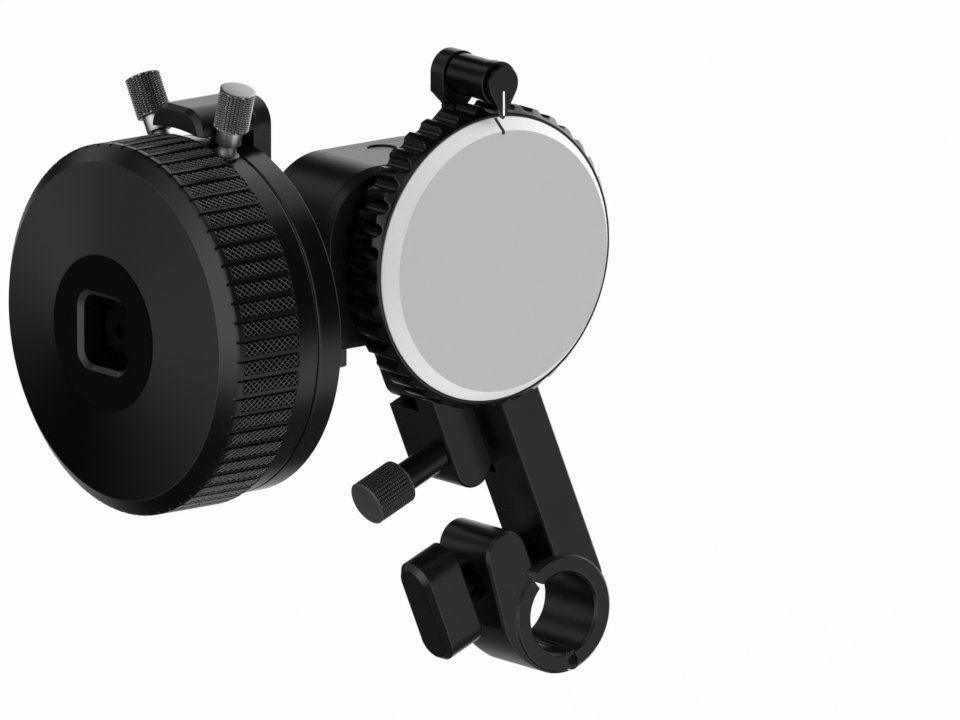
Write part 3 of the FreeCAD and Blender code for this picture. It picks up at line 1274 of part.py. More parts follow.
def make_pointer_arm():
    body = new_body("pointer_arm", x=S.output_x, y=BOX_FRONT, z=OUTPUT_Z)
    # a plate on the gearbox's front, then a thicker post over its top
    half = S.post_half
    over_box = S.box_reach_up + S.post_gap
    plate = [(half, S.post_foot), (half, S.post_top), (-half, S.post_top),
             (-half, S.post_foot)]
    post = [(half, over_box), (half, POINTER_RISE), (-half, POINTER_RISE),
            (-half, over_box)]
    pad(body, "y", -S.post_thick, S.post_thick, plate)
    pad(body, "y", 0, S.pointer_head_thick, post)
    head = ("circle", 0, POINTER_RISE, S.pointer_head_radius)
    pad(body, "y", 0, S.pointer_head_thick, head)
    pocket(body, "y", -1, S.pointer_head_thick + 2,
           ("circle", 0, POINTER_RISE, S.pointer_pin))
    screws = new_body("pointer_screws", x=S.output_x, y=BOX_FRONT, z=OUTPUT_Z)
    for side in (-1, 1):
        spot = ("circle", S.post_screw_gap * side, S.post_screw)
        pocket(body, "y", -S.post_thick - 1, S.post_thick + 2, (*spot, S.post_screw_radius))
        pad(screws, "y", -S.post_thick - S.post_head_height, S.post_head_height,
            (*spot, S.post_screw_head), (*spot, S.post_screw_radius * 0.6))
        pad(screws, "y", -S.post_thick, S.post_thick + S.post_screw_length,
            (*spot, S.post_screw_radius))
    pin = barrel_body("pointer_pin")
    rod(pin, -S.pointer_head_thick, S.pointer_pin_length, S.pointer_pin)


def make_pointer():
    barrel = barrel_body("pointer_barrel")
    bore = S.pointer_pin + S.hinge_fit
    start = S.pointer_groove
    plate_back = BOX_FRONT - PLATE_BACK
    collar_end = plate_back - S.pointer_gap
    collar_start = collar_end - S.pointer_collar
    collar = S.pointer_radius + S.pointer_collar_step
    floor = S.pointer_pin_length + S.end_play
    turn(barrel, [(S.thread_gap, bore), (S.thread_gap, S.pointer_neck),
                  (start, S.pointer_neck), (start, S.pointer_radius),
                  (collar_start, S.pointer_radius), (collar_start, collar),
                  (collar_end, collar), (collar_end, S.pointer_neck),
                  (plate_back, S.pointer_neck), (plate_back, 0), (floor, 0), (floor, bore)])
    # teardrop plate: a round end and two tangents to the tip
    plate = new_body("pointer_plate", x=S.output_x, y=PLATE_BACK, z=POINTER_Z)
    radius = S.pointer_plate_radius
    reach = POINTER_TIP
    touch_z = -(radius * radius / reach)
    touch_x = root(radius * radius - touch_z * touch_z)
    drop = [(touch_x, touch_z, radius), (0, radius, radius), (-touch_x, touch_z), (0, -reach)]
    thick = S.pointer_plate_thick
    pad(plate, "y", -thick, thick, drop)
    half = S.pointer_line_width / 2
    top = -S.pointer_line_top
    foot = -reach + S.pointer_line_width * 1.6
    line = [(-half, foot), (half, foot), (half, top), (-half, top)]
    pocket(plate, "y", -thick - 1, S.pointer_line_sink + 1, line)
    inlay = new_body("pointer_line", x=S.output_x, y=PLATE_BACK, z=POINTER_Z)
    pad(inlay, "y", -thick, S.pointer_line_sink, line)


# ---- screw gears -----------------------------------------------------------------

def screw_gear_solid(phase):
    """A 45 degree screw gear along X with trapezoid teeth, as a stack of turned sections."""
    teeth = int(S.screw_teeth.value)
    pitch_radius = S.gear_centres.value / 2
    tip = pitch_radius + S.screw_addendum.value
    floor = pitch_radius - S.screw_dedendum.value
    width = S.screw_width.value
    step = 2 * math.pi / teeth
    twist = width / pitch_radius
    shares = ((-0.5, floor), (-0.32, floor), (-S.screw_fill.value / 2, tip),
              (S.screw_fill.value / 2, tip), (0.32, floor))
    layers = 14
    wires = []
    for layer in range(layers + 1):
        x = -width / 2 + width * layer / layers
        turned_by = phase + twist * (layer / layers - 0.5)
        ring = []
        for tooth in range(teeth):
            for share, radius in shares:
                angle = turned_by + step * (tooth + share)
                ring.append(Vector(x, radius * math.cos(angle), radius * math.sin(angle)))
        wires.append(Part.makePolygon(ring + ring[:1]))
    blank = Part.makeLoft(wires, True, True)
    bore = Part.makeCylinder(S.gear_shaft_radius.value, width + 2,
                             Vector(-width / 2 - 1, 0, 0), X_AXIS)
    return blank.cut(bore)


def make_screw_gears():
    step = 2 * math.pi / S.screw_teeth.value
    for label, phase, angle, spot in (
            ("wheel_gear", step / 4, 0, (S.output_x, S.axis_y, S.axis_z)),
            ("output_gear", -step / 4, 90, (S.output_x, S.axis_y, OUTPUT_Z))):
        gear = doc.addObject("Part::Feature", label)
        gear.Label = label
        gear.Shape = screw_gear_solid(phase)
        place(gear, *spot, angle=angle)
        parts.append(gear)


# ---- build, check and write ------------------------------------------------------

def check_document():
    doc.recompute()
    for item in doc.Objects:
        if "Invalid" in item.State or "Error" in item.State:
            raise RuntimeError(f"{item.Label} did not recompute: {item.State}")
    for part in parts:
        if part.Shape.isNull() or not part.Shape.isValid():
            raise RuntimeError(f"{part.Label} has no valid shape")


def write_parts():
    os.makedirs("parts", exist_ok=True)
    for part in parts:
        part.Shape.exportStep(f"parts/{part.Label}.step")


def build():
    make_clamp_arm()
    make_jaw_pin()
    make_clamp_jaw()
    make_wing_screw()
    make_slide_block()
    make_foot_screws()
    make_lock_knob()
    make_gearbox()
    make_cover()
    make_box_fittings()
    front = output_at(BOX_FRONT + S.box_wall) - S.bearing_width
    back = output_at(COVER_BACK - S.bearing_lip) - S.bearing_width
    inner = S.output_x - S.chamber_left - FACE_X - S.bearing_width
    for label, where, start, shaft_radius in (
            ("output_bearing_front", output_body, front, S.output_shaft_radius),
            ("output_bearing_rear", output_body, back, S.output_shaft_radius),
            ("wheel_bearing_outer", wheel_body, STRAP_FRONT, S.wheel_shaft_radius),
            ("wheel_bearing_inner", wheel_body, inner, S.wheel_shaft_radius)):
        make_bearing(label, where, start, shaft_radius)
    make_marking_wheel()
    make_marking_disc()
    make_output_shaft()
    make_drive_gear()
    make_hand_wheel()
    make_wheel_shaft()
    make_stop_ring("stop_ring_front", RINGS_START, S.stop_angle_one)
    make_stop_ring("stop_ring_rear", RING_TWO, S.stop_angle_two)
    make_stop_screw("stop_screw_front", RINGS_START, S.stop_angle_one)
    make_stop_screw("stop_screw_rear", RING_TWO, S.stop_angle_two)
    make_stop_bracket()
    make_neck_tube()
    make_pointer_arm()
    make_pointer()
    make_screw_gears()
    check_document()
    write_parts()


build()
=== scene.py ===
import math

import bpy
import numpy as np
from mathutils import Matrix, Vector


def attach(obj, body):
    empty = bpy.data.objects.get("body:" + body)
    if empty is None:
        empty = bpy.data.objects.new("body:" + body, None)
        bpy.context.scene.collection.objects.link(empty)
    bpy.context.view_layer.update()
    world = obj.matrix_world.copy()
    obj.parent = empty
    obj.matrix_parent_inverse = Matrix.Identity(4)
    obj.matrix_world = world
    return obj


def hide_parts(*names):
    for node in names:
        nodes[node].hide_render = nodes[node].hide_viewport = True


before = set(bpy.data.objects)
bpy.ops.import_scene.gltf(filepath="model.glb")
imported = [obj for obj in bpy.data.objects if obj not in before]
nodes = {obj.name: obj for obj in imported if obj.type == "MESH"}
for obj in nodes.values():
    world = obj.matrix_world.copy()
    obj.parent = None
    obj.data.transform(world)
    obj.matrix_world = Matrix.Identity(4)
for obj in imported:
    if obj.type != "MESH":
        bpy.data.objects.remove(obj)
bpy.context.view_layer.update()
mm = 0.001
print("frame loaded:", len(nodes), "nodes")

# where the axes of the part lie, in millimetres
axes = {"wheelFace": -97.8, "wheelY": 4.5, "wheelZ": 64.3,
        "outputX": -22.3, "discEdge": -15.0, "outputZ": 71.1}


def linear(hexText):
    # an sRGB colour such as "1a1a1b" as linear red, green, blue and full alpha
    channels = [int(hexText[i:i + 2], 16) / 255 for i in (0, 2, 4)]
    return [c / 12.92 if c <= 0.04045 else ((c + 0.055) / 1.055) ** 2.4
            for c in channels] + [1.0]


def addNode(tree, kind, settings=None, inputs=None):
    # a node with its settings; an input is a value, or a (node, output name) to link
    node = tree.nodes.new(kind)
    for name, value in (settings or {}).items():
        setattr(node, name, value)
    for name, value in (inputs or {}).items():
        socket = node.inputs[name]
        if isinstance(value, tuple) and isinstance(value[0], bpy.types.Node):
            tree.links.new(value[0].outputs[value[1]], socket)
        else:
            socket.default_value = value
    return node


def newMaterial(name):
    material = bpy.data.materials.new(name)
    material.use_nodes = True
    tree = material.node_tree
    tree.nodes.clear()
    return material, tree


def ramp(tree, factor, stops):
    # a colour ramp with stops of (position, sRGB hex)
    node = addNode(tree, "ShaderNodeValToRGB", inputs={"Fac": factor})
    band = node.color_ramp.elements
    while len(band) < len(stops):
        band.new(0.5)
    for element, (position, colour) in zip(band, stops):
        element.position = position
        element.color = linear(colour)
    return node


def finished(tree, shader):
    addNode(tree, "ShaderNodeOutputMaterial", inputs={"Surface": (shader, "BSDF")})


def outFrom(tree, centre):
    # the way out from an axis along x through the centre, and how far out a point lies
    place = addNode(tree, "ShaderNodeTexCoord")
    middle = addNode(tree, "ShaderNodeMapping", inputs={
        "Vector": (place, "Object"), "Location": [-c * mm for c in centre]})
    flat = addNode(tree, "ShaderNodeVectorMath", {"operation": "MULTIPLY"})
    tree.links.new(middle.outputs["Vector"], flat.inputs[0])
    flat.inputs[1].default_value = (0, 1, 1)
    reach = addNode(tree, "ShaderNodeVectorMath", {"operation": "LENGTH"})
    tree.links.new(flat.outputs["Vector"], reach.inputs[0])
    return flat, reach


def addMix(tree, factor, first, second):
    # the first shader where the factor is 0, the second where it is 1
    node = addNode(tree, "ShaderNodeMixShader", inputs={"Fac": factor})
    tree.links.new(first.outputs[0], node.inputs[1])
    tree.links.new(second.outputs[0], node.inputs[2])
    return node


def addMath(tree, operation, *operands):
    # each operand is a value or an output to link
    node = addNode(tree, "ShaderNodeMath", {"operation": operation})
    for socket, operand in zip(node.inputs, operands):
        if isinstance(operand, bpy.types.NodeSocket):
            tree.links.new(operand, socket)
        else:
            socket.default_value = operand
    return node


# bead-blasted and black anodised aluminium: satin, a fine even grain, edges a touch lighter
def anodised(name, dark, light, roughness, grain=0.12, bevel=0.3, lift=0.012, specular=0.5):
    material, tree = newMaterial(name)
    place = addNode(tree, "ShaderNodeTexCoord")
    blast = addNode(tree, "ShaderNodeTexNoise", inputs={
        "Vector": (place, "Object"), "Scale": 1 / (grain * mm), "Detail": 2.0,
        "Roughness": 0.6})
    cloud = addNode(tree, "ShaderNodeTexNoise", inputs={
        "Vector": (place, "Object"), "Scale": 1 / (14 * mm), "Detail": 3.0})
    colour = ramp(tree, (cloud, "Fac"), [(0.3, dark), (0.7, light)])
    rough = addNode(tree, "ShaderNodeMapRange", inputs={
        "Value": (cloud, "Fac"), "To Min": roughness - 0.035, "To Max": roughness + 0.035})
    edge = addNode(tree, "ShaderNodeBevel", {"samples": 6}, {"Radius": bevel * mm})
    bump = addNode(tree, "ShaderNodeBump", inputs={
        "Height": (blast, "Fac"), "Strength": 0.05, "Distance": lift * mm,
        "Normal": (edge, "Normal")})
    shader = addNode(tree, "ShaderNodeBsdfPrincipled", inputs={
        "Base Color": (colour, "Color"), "Roughness": (rough, "Result"),
        "Specular IOR Level": specular, "Normal": (bump, "Normal")})
    finished(tree, shader)
    return material


# lathe-turned and anodised face: rings of tool marks draw the light out into a fan
def turnedFace(name, dark, light, roughness, centre, pitch=0.16, strength=0.03):
    material, tree = newMaterial(name)
    flat, reach = outFrom(tree, centre)
    rings = addNode(tree, "ShaderNodeTexNoise", {"noise_dimensions": "1D"}, {
        "W": (reach, "Value"), "Scale": 1 / (pitch * mm), "Detail": 3.0, "Roughness": 0.7})
    around = addNode(tree, "ShaderNodeVectorMath", {"operation": "CROSS_PRODUCT"})
    tree.links.new(flat.outputs["Vector"], around.inputs[0])
    around.inputs[1].default_value = (1, 0, 0)
    colour = ramp(tree, (rings, "Fac"), [(0.3, dark), (0.7, light)])
    bump = addNode(tree, "ShaderNodeBump", inputs={
        "Height": (rings, "Fac"), "Strength": strength, "Distance": 0.006 * mm})
    shader = addNode(tree, "ShaderNodeBsdfPrincipled", inputs={
        "Base Color": (colour, "Color"), "Roughness": roughness, "Anisotropic": 0.75,
        "Normal": (bump, "Normal"), "Tangent": (around, "Vector")})
    finished(tree, shader)
    return material


# knurled ribs: black anodised, the ribs' crests painted lighter as a highlight and the pits painted
# near black as shade, both by their distance from the axis
def knurlPaintedLight(name, centre, low, high):
    material, tree = newMaterial(name)
    reach = outFrom(tree, centre)[1]
    crest = addNode(tree, "ShaderNodeMapRange", inputs={
        "Value": (reach, "Value"), "From Min": low * mm, "From Max": high * mm})
    colour = ramp(tree, (crest, "Result"), [(0.0, "010101"), (0.72, "040404"), (1.0, "8c8c8d")])
    shader = addNode(tree, "ShaderNodeBsdfPrincipled", inputs={
        "Base Color": (colour, "Color"), "Roughness": 0.34})
    finished(tree, shader)
    return material


# ground or turned steel: bright, with fine marks along one direction
def steel(name, dark, light, roughness, marks=(0.05, 0.05, 1.2)):
    material, tree = newMaterial(name)
    place = addNode(tree, "ShaderNodeTexCoord")
    stretch = addNode(tree, "ShaderNodeMapping", inputs={
        "Vector": (place, "Object"), "Scale": [1 / (m * mm) for m in marks]})
    scratch = addNode(tree, "ShaderNodeTexNoise", inputs={
        "Vector": (stretch, "Vector"), "Scale": 1.0, "Detail": 3.0})
    colour = ramp(tree, (scratch, "Fac"), [(0.3, dark), (0.7, light)])
    rough = addNode(tree, "ShaderNodeMapRange", inputs={
        "Value": (scratch, "Fac"), "To Min": roughness - 0.06, "To Max": roughness + 0.08})
    edge = addNode(tree, "ShaderNodeBevel", {"samples": 4}, {"Radius": 0.12 * mm})
    shader = addNode(tree, "ShaderNodeBsdfPrincipled", inputs={
        "Base Color": (colour, "Color"), "Metallic": 1.0, "Roughness": (rough, "Result"),
        "Normal": (edge, "Normal")})
    finished(tree, shader)
    return material


# moulded or painted plastic: matt, faint orange peel
def plastic(name, dark, light, roughness, peel=0.5, bevel=0.15):
    material, tree = newMaterial(name)
    place = addNode(tree, "ShaderNodeTexCoord")
    skin = addNode(tree, "ShaderNodeTexNoise", inputs={
        "Vector": (place, "Object"), "Scale": 1 / (peel * mm), "Detail": 2.0})
    colour = ramp(tree, (skin, "Fac"), [(0.25, dark), (0.75, light)])
    edge = addNode(tree, "ShaderNodeBevel", {"samples": 4}, {"Radius": bevel * mm})
    bump = addNode(tree, "ShaderNodeBump", inputs={
        "Height": (skin, "Fac"), "Strength": 0.05, "Distance": 0.01 * mm,
        "Normal": (edge, "Normal")})
    shader = addNode(tree, "ShaderNodeBsdfPrincipled", inputs={
        "Base Color": (colour, "Color"), "Roughness": roughness, "Normal": (bump, "Normal")})
    finished(tree, shader)
    return material


wheelCentre = (axes["wheelFace"], axes["wheelY"], axes["wheelZ"])
finish = {
    "blackAnodised": anodised("black_anodised_aluminium", "0e0e0f", "121213", 0.28),
    "ringAnodised": anodised("turned_black_anodised", "060606", "09090a", 0.19, grain=0.09),
    "knurlAnodised": anodised("knurled_black_anodised", "080809", "0b0b0c", 0.28,
                              grain=0.09, bevel=0.04),
    # a lighter grey that paints highlights onto edges
    "paintedEdgeHighlight": anodised("painted_edge_highlight", "2e2e2f", "38383a", 0.32),
    "thumbSteel": steel("dull_nickel_plate", "b0b0b1", "bcbcbd", 0.34, marks=(0.4, 0.4, 0.4)),
    # the head's nickel made darker for the neck and foot: shade under the head painted on
    "thumbNeckShaded": steel("nickel_neck_painted_shade", "6e6e6f", "7a7a7b", 0.4, marks=(0.4, 0.4, 0.4)),
    "knurlPaintedLight": knurlPaintedLight("knurl_ribs_painted_highlight_and_shade", wheelCentre, 33.6, 34.1),
    "greyKnurl": anodised("knurled_dark_grey_anodised", "444445", "4e4e4f", 0.36,
                          grain=0.09, bevel=0.04),
    "wheelFace": turnedFace("turned_wheel_face", "060607", "09090a", 0.21, wheelCentre),
    # matt black for the hub; the same finish paints shade into the knurl's deepest pits
    "hubAndPitShade": anodised("matt_black_hub_and_pit_shade", "0a0a0a", "0c0c0c", 0.5, specular=0.03),
    "blackOxide": steel("black_oxide_steel", "1a1a1b", "242425", 0.38),
    "groundSteel": steel("ground_steel", "a8a8aa", "bcbcbe", 0.30),
    "nickel": steel("nickel_plated_magnet", "b4b2ac", "c4c2bc", 0.22),
    "brass": steel("machined_brass", "9d7f42", "b8964f", 0.32),
    # the disc's white enamel painted light grey on its flat face, as shade
    "discFaceShade": plastic("white_enamel_face_painted_grey_shade", "b4b4b4", "b6b6b6", 0.62),
    "discBevel": plastic("white_enamel", "f2f2f2", "f6f6f6", 0.45),
    "acetal": plastic("black_acetal", "101011", "141415", 0.42),
    "whitePaint": plastic("white_paint", "f0f0f0", "f6f6f6", 0.5, bevel=0.02),
    "blackPaint": plastic("black_paint", "080808", "0b0b0b", 0.5, bevel=0.02),
}
print("materials made:", len(finish))


def addPiece(name, points, faces, material, body, replaced=(), sharp=32, extra=()):
    # extra lists further materials, each with a mark for every face that has it
    mesh = bpy.data.meshes.new(name)
    mesh.from_pydata(points * mm, [], faces)
    mesh.materials.append(finish[material])
    which = np.zeros(len(faces), int)
    for k, (look, marked) in enumerate(extra):
        mesh.materials.append(finish[look])
        which[marked] = k + 1
    mesh.polygons.foreach_set("material_index", which)
    mesh.validate()
    mesh.shade_smooth()
    mesh.set_sharp_from_angle(angle=math.radians(sharp))
    piece = bpy.data.objects.new(name, mesh)
    bpy.context.scene.collection.objects.link(piece)
    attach(piece, body)
    if replaced:
        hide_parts(*replaced)
    return piece


def torusFaces(around, along):
    # quads of a grid that closes both ways; the first index runs around, the second along
    i, j = np.meshgrid(np.arange(around), np.arange(along), indexing="ij")
    a = i * along + j
    b = (i + 1) % around * along + j
    c = (i + 1) % around * along + (j + 1) % along
    d = i * along + (j + 1) % along
    return np.stack([a, b, c, d], -1).reshape(-1, 4)


def splitQuads(faces, height):
    # each quad becomes two triangles, cut along its lower diagonal so that valleys stay sharp
    low = height[faces[:, 0]] + height[faces[:, 2]] <= height[faces[:, 1]] + height[faces[:, 3]]
    first = np.where(low[:, None], faces[:, [0, 1, 2]], faces[:, [0, 1, 3]])
    second = np.where(low[:, None], faces[:, [0, 2, 3]], faces[:, [1, 2, 3]])
    return np.concatenate([first, second])


def wheelPoints(along, radius, angle):
    # turned about the hand wheel's axis: along it from the front face, radius out, angle round
    shape = np.broadcast(along, radius, angle).shape
    x = np.broadcast_to(axes["wheelFace"] + along, shape)
    y = axes["wheelY"] + radius * np.cos(angle)
    z = axes["wheelZ"] + radius * np.sin(angle)
    return np.stack([x, np.broadcast_to(y, shape), np.broadcast_to(z, shape)], -1)


def outputPoints(along, radius, angle):
    # turned about the output axis: along it from the disc's edge, radius out, angle round
    shape = np.broadcast(along, radius, angle).shape
    x = axes["outputX"] + radius * np.cos(angle)
    y = np.broadcast_to(axes["discEdge"] + along, shape)
    z = axes["outputZ"] + radius * np.sin(angle)
    return np.stack([np.broadcast_to(x, shape), y, np.broadcast_to(z, shape)], -1)


def diamonds(across, up):
    # pyramids between two families of V grooves: 0 in the grooves, 1 at the tips
    first = np.abs((across + up + 0.5) % 1 - 0.5) * 2
    second = np.abs((across - up + 0.5) % 1 - 0.5) * 2
    return np.minimum(first, second)


def beads(across, up):
    # columns of beads: V grooves between the columns, shallower cuts across them, and
    # every second column half a bead higher
    column = np.abs((across + 0.5) % 1 - 0.5) * 2
    cut = np.abs((up + np.floor(across) % 2 / 2 + 0.5) % 1 - 0.5) * 2
    return np.minimum(column * 2.2, 1) * (0.2 + 0.8 * np.minimum(cut * 1.1, 1))


# knurled rim of the hand wheel; lead comes before a groove, and one width is that of the light line
# painted as a highlight on the edge beside the dish
# dark is the share of a pit's depth past which a face is painted matt black as shade
rim = {"radius": 34.14, "dish": 31.0, "front": 2.5, "shoulder": 5.0, "end": 18.85,
       "journal": 26.95, "journalEnd": 29.4, "bore": 23.95, "seat": 5.5,
       "grooves": 60, "grooveHalf": 0.33, "grooveDepth": 0.5, "grooveFront": 4.25,
       "padFront": 5.95, "padEnd": 18.7, "padLow": 0.36, "padHigh": 0.86, "padSink": 0.04,
       "knurlDeep": 0.5, "ribShare": 0.04, "pitWall": 0.4, "columns": 10, "rows": 2, "dark": 0.6,
       "steps": 6, "padEdge": 0.05, "highlightWide": 0.12, "lead": 0.04, "round": 0.1,
       "endEdge": 0.12, "tiny": 0.001}


def knurledRim():
    period = 2 * math.pi * rim["radius"] / rim["grooves"]
    half = rim["grooveHalf"]
    across = half * np.sin(np.linspace(-math.pi / 2, math.pi / 2, 7))
    padArc = np.linspace(rim["padLow"], period - rim["padHigh"], rim["rows"] * rim["steps"] + 1)
    arc = np.concatenate([across, padArc, [padArc[-1] + rim["padEdge"]]])
    angle = (np.arange(rim["grooves"])[:, None] * period + arc[None, :]).ravel() / rim["radius"]
    arc = np.tile(arc, rim["grooves"])

    padAlong = np.linspace(rim["padFront"] + rim["padEdge"], rim["padEnd"] - rim["padEdge"],
                           rim["columns"] * rim["steps"] + 1)
    ends = rim["grooveFront"] + half * (1 - np.cos(np.linspace(0, math.pi / 2, 5)))
    outer = np.concatenate([[rim["front"], rim["front"] + rim["highlightWide"],
                             rim["grooveFront"] - rim["lead"]], ends,
                            [rim["shoulder"] - rim["round"], rim["shoulder"] + rim["round"],
                             rim["padFront"]], padAlong, [rim["padEnd"], rim["end"]]])
    outer = np.unique(np.round(outer, 4))
    cone = rim["dish"] + (outer - rim["front"]) / (rim["shoulder"] - rim["front"]) \
        * (rim["radius"] - rim["dish"])
    surface = np.minimum(cone, rim["radius"])
    surface[-1] -= rim["endEdge"]
    inner = np.array([[rim["end"], rim["journal"]], [rim["journalEnd"], rim["journal"]],
                      [rim["journalEnd"], rim["bore"]], [rim["seat"], rim["bore"]],
                      [rim["seat"], rim["dish"]]])
    along = np.concatenate([outer, inner[:, 0]])
    radius = np.concatenate([surface, inner[:, 1]])
    axial, arcs = np.meshgrid(along, arc, indexing="xy")
    radial = np.tile(radius, (len(angle), 1))
    isOuter = np.arange(len(along)) < len(outer)
    # a groove is a round channel about a line that starts at its front end's centre
    reach = np.hypot(arcs, np.minimum(axial - rim["grooveFront"] - half, 0)) / half
    channel = rim["radius"] - rim["grooveDepth"] * np.sqrt(np.clip(1 - reach ** 3, 0, 1))
    inGroove = isOuter & (np.abs(arcs) < half + rim["tiny"]) & (reach < 1)
    radial = np.where(inGroove, np.minimum(radial, channel), radial)
    # the pads: flat-topped crossing ribs with a steep-sided pit between every four of them
    inPad = isOuter & (axial >= padAlong[0] - rim["tiny"]) & (axial <= padAlong[-1] + rim["tiny"]) \
        & (arcs >= padArc[0] - rim["tiny"]) & (arcs <= padArc[-1] + rim["tiny"])
    column = (axial - padAlong[0]) / (padAlong[-1] - padAlong[0]) * rim["columns"]
    row = (arcs - padArc[0]) / (padArc[-1] - padArc[0]) * rim["rows"]
    pit = np.clip((diamonds(column, row) - rim["ribShare"]) / rim["pitWall"], 0, 1)
    pits = rim["radius"] - rim["padSink"] - rim["knurlDeep"] * pit
    radial = np.where(inPad, pits, radial)
    points = wheelPoints(axial, radial, angle[:, None]).reshape(-1, 3)
    faces = splitQuads(torusFaces(len(angle), len(along)), -radial.ravel())
    # the pad faces take the ribs' finish, with its painted highlight and shade
    knurl = inPad.ravel()[faces].all(axis=1)
    # faces deep in the pits take the matt hub finish: painted shade, dark and without gloss
    shadedPits = knurl & (pit.ravel()[faces].mean(axis=1) > rim["dark"])
    # the sharp edge beside the dish is painted a little lighter, as a highlight
    onPaintedHighlight = isOuter & (axial < rim["front"] + 1.1 * rim["highlightWide"])
    edge = onPaintedHighlight.ravel()[faces].all(axis=1)
    return addPiece("knurledRim", points, faces.tolist(), "knurlAnodised", "hand_wheel",
                    ["handwheel_rim"], 24,
                    [("knurlPaintedLight", knurl), ("paintedEdgeHighlight", edge), ("hubAndPitShade", shadedPits)])


# marking wheel with its troughs
marking = {"lands": 28.25, "troughs": 40, "depth": 1.05, "floor": 1.5,
           "front": 0.15, "slope": 1.6, "lip": 26.84, "seat": 26.34, "seatDepth": 1.6,
           "magnet": 9.0, "magnetDepth": 3.1, "web": 6.0, "back": 7.2, "wall": 25.5,
           "boss": 7.5, "bossEnd": 8.4, "shaft": 4.0, "steps": 13, "soft": 0.16}


def scallopedWheel():
    period = 2 * math.pi * marking["lands"] / marking["troughs"]
    lands, back, soft = marking["lands"], marking["back"], marking["soft"]
    middle = lands - marking["depth"] + marking["floor"]
    mouth = math.sqrt(marking["floor"] ** 2 - (middle - lands) ** 2)
    floorX = mouth * np.sin(np.linspace(-math.pi / 2, math.pi / 2, marking["steps"]))
    arc = np.concatenate([[-period / 2, -mouth - soft], floorX, [mouth + soft]])
    cut = np.full(len(arc), lands)
    inside = slice(2, 2 + marking["steps"])
    cut[inside] = middle - np.sqrt(marking["floor"] ** 2 - floorX ** 2)
    # the edge of each land is a little round
    cut[2] = cut[1 + marking["steps"]] = lands - soft * 0.4
    angle = (np.arange(marking["troughs"])[:, None] * period + arc[None, :]).ravel()
    angle = angle / lands + math.pi / 2
    cut = np.tile(cut, marking["troughs"])

    slopeEnd = marking["front"] + marking["slope"]
    slope = [[marking["front"] + marking["slope"] * t,
              marking["lip"] + (lands - marking["lip"]) * t] for t in np.linspace(0.1, 0.94, 8)]
    profile = np.array([
        [marking["magnetDepth"], marking["shaft"]], [marking["magnetDepth"], marking["magnet"]],
        [marking["seatDepth"], marking["magnet"]], [marking["seatDepth"], marking["seat"]],
        [marking["front"] + 0.04, marking["seat"]], [marking["front"], marking["seat"] + 0.04],
        [marking["front"], marking["lip"] - 0.05], *slope,
        [slopeEnd + 0.1, lands], [back - 0.15, lands],
        [back, lands - 0.15], [back, 27.3], [back, 26.9], [back, marking["wall"]],
        [marking["web"], marking["wall"]], [marking["web"], marking["boss"]],
        [marking["bossEnd"], marking["boss"]], [marking["bossEnd"], marking["shaft"]]])
    along = profile[:, 0][None, :]
    radius = np.minimum(profile[:, 1][None, :], cut[:, None])
    points = outputPoints(along, radius, angle[:, None]).reshape(-1, 3)
    faces = torusFaces(len(angle), len(profile))
    return addPiece("scallopedWheel", points, faces.tolist(), "ringAnodised", "marker",
                    ["marking_wheel"], sharp=30)


# below this share of a bead's height a face counts as a dark valley, painted black as shade
beadShade = 0.52


def knurledScrew(name, profile, knurl, place, body, replaced, material, neck):
    # a profile of (height, radius) turned about place's third axis; knurl is
    # (first height, last height, rows, count around, depth); the valleys between the beads
    # are painted black as shade, and neck is the finish of all below a height
    low, high, rows, count, depth = knurl
    samples = np.linspace(low, high, rows * 4 + 1)
    before = [p for p in profile if p[0] < low]
    after = [p for p in profile if p[0] > high]
    headRadius = max(p[1] for p in profile)
    heights = np.array([p[0] for p in before] + list(samples) + [p[0] for p in after])
    radii = np.array([p[1] for p in before] + [headRadius] * len(samples)
                     + [p[1] for p in after])
    around = count * 4
    angle = np.arange(around) / around * 2 * math.pi
    axial, turns = np.meshgrid(heights, angle, indexing="xy")
    radial = np.tile(radii, (around, 1))
    onHead = (axial >= low - 1e-9) & (axial <= high + 1e-9)
    tips = beads(turns / (2 * math.pi) * count, (axial - low) / (high - low) * rows)
    radial = np.where(onHead, headRadius - depth + depth * tips, radial)
    origin, sideways, upwards, axis = place
    points = origin + (radial * np.cos(turns))[..., None] * sideways \
        + (radial * np.sin(turns))[..., None] * upwards + axial[..., None] * axis
    total = len(heights)
    points = points.reshape(-1, 3)
    # quads along the side, and a pole at each end
    i, j = np.meshgrid(np.arange(around), np.arange(total - 1), indexing="ij")
    nextI = (i + 1) % around
    quads = np.stack([i * total + j, nextI * total + j, nextI * total + j + 1,
                      i * total + j + 1], -1).reshape(-1, 4)
    flip = np.dot(np.cross(sideways, upwards), axis) < 0
    if flip:
        quads = quads[:, ::-1]
    faces = splitQuads(quads, radial.ravel())
    tipShare = np.where(onHead, tips, 1.0).ravel()
    # faces low between the beads take black anodised: painted shade in the valleys
    dark = tipShare[faces].mean(axis=1) < beadShade
    below = axial.ravel()[faces].max(axis=1) < neck[1]
    faces = faces.tolist()
    foot, top = len(points), len(points) + 1
    points = np.concatenate([points, [origin + axis * heights[0], origin + axis * heights[-1]]])
    ring = np.arange(around)
    following = (ring + 1) % around
    for a, b in zip(ring, following):
        footFace, topFace = [foot, b * total, a * total], \
            [top, a * total + total - 1, b * total + total - 1]
        faces.append(footFace[::-1] if flip else footFace)
        faces.append(topFace[::-1] if flip else topFace)
    rest = np.zeros(len(faces) - len(dark), bool)
    dark, below = np.concatenate([dark, rest]), np.concatenate([below, rest])
    return addPiece(name, points, faces, material, body, [replaced], 24,
                    [("blackAnodised", dark), (neck[0], below)])


thumb = {"ring": 32.95, "stud": 1.2, "reach": 5.8, "gap": 0.02, "foot": 2.4, "waist": 1.55,
         "neck": 2.34, "footHigh": 2.4, "neckHigh": 3.1, "head": 3.4, "headHigh": 7.8,
         "edge": 0.45, "count": 28, "rows": 16, "depth": 0.3}


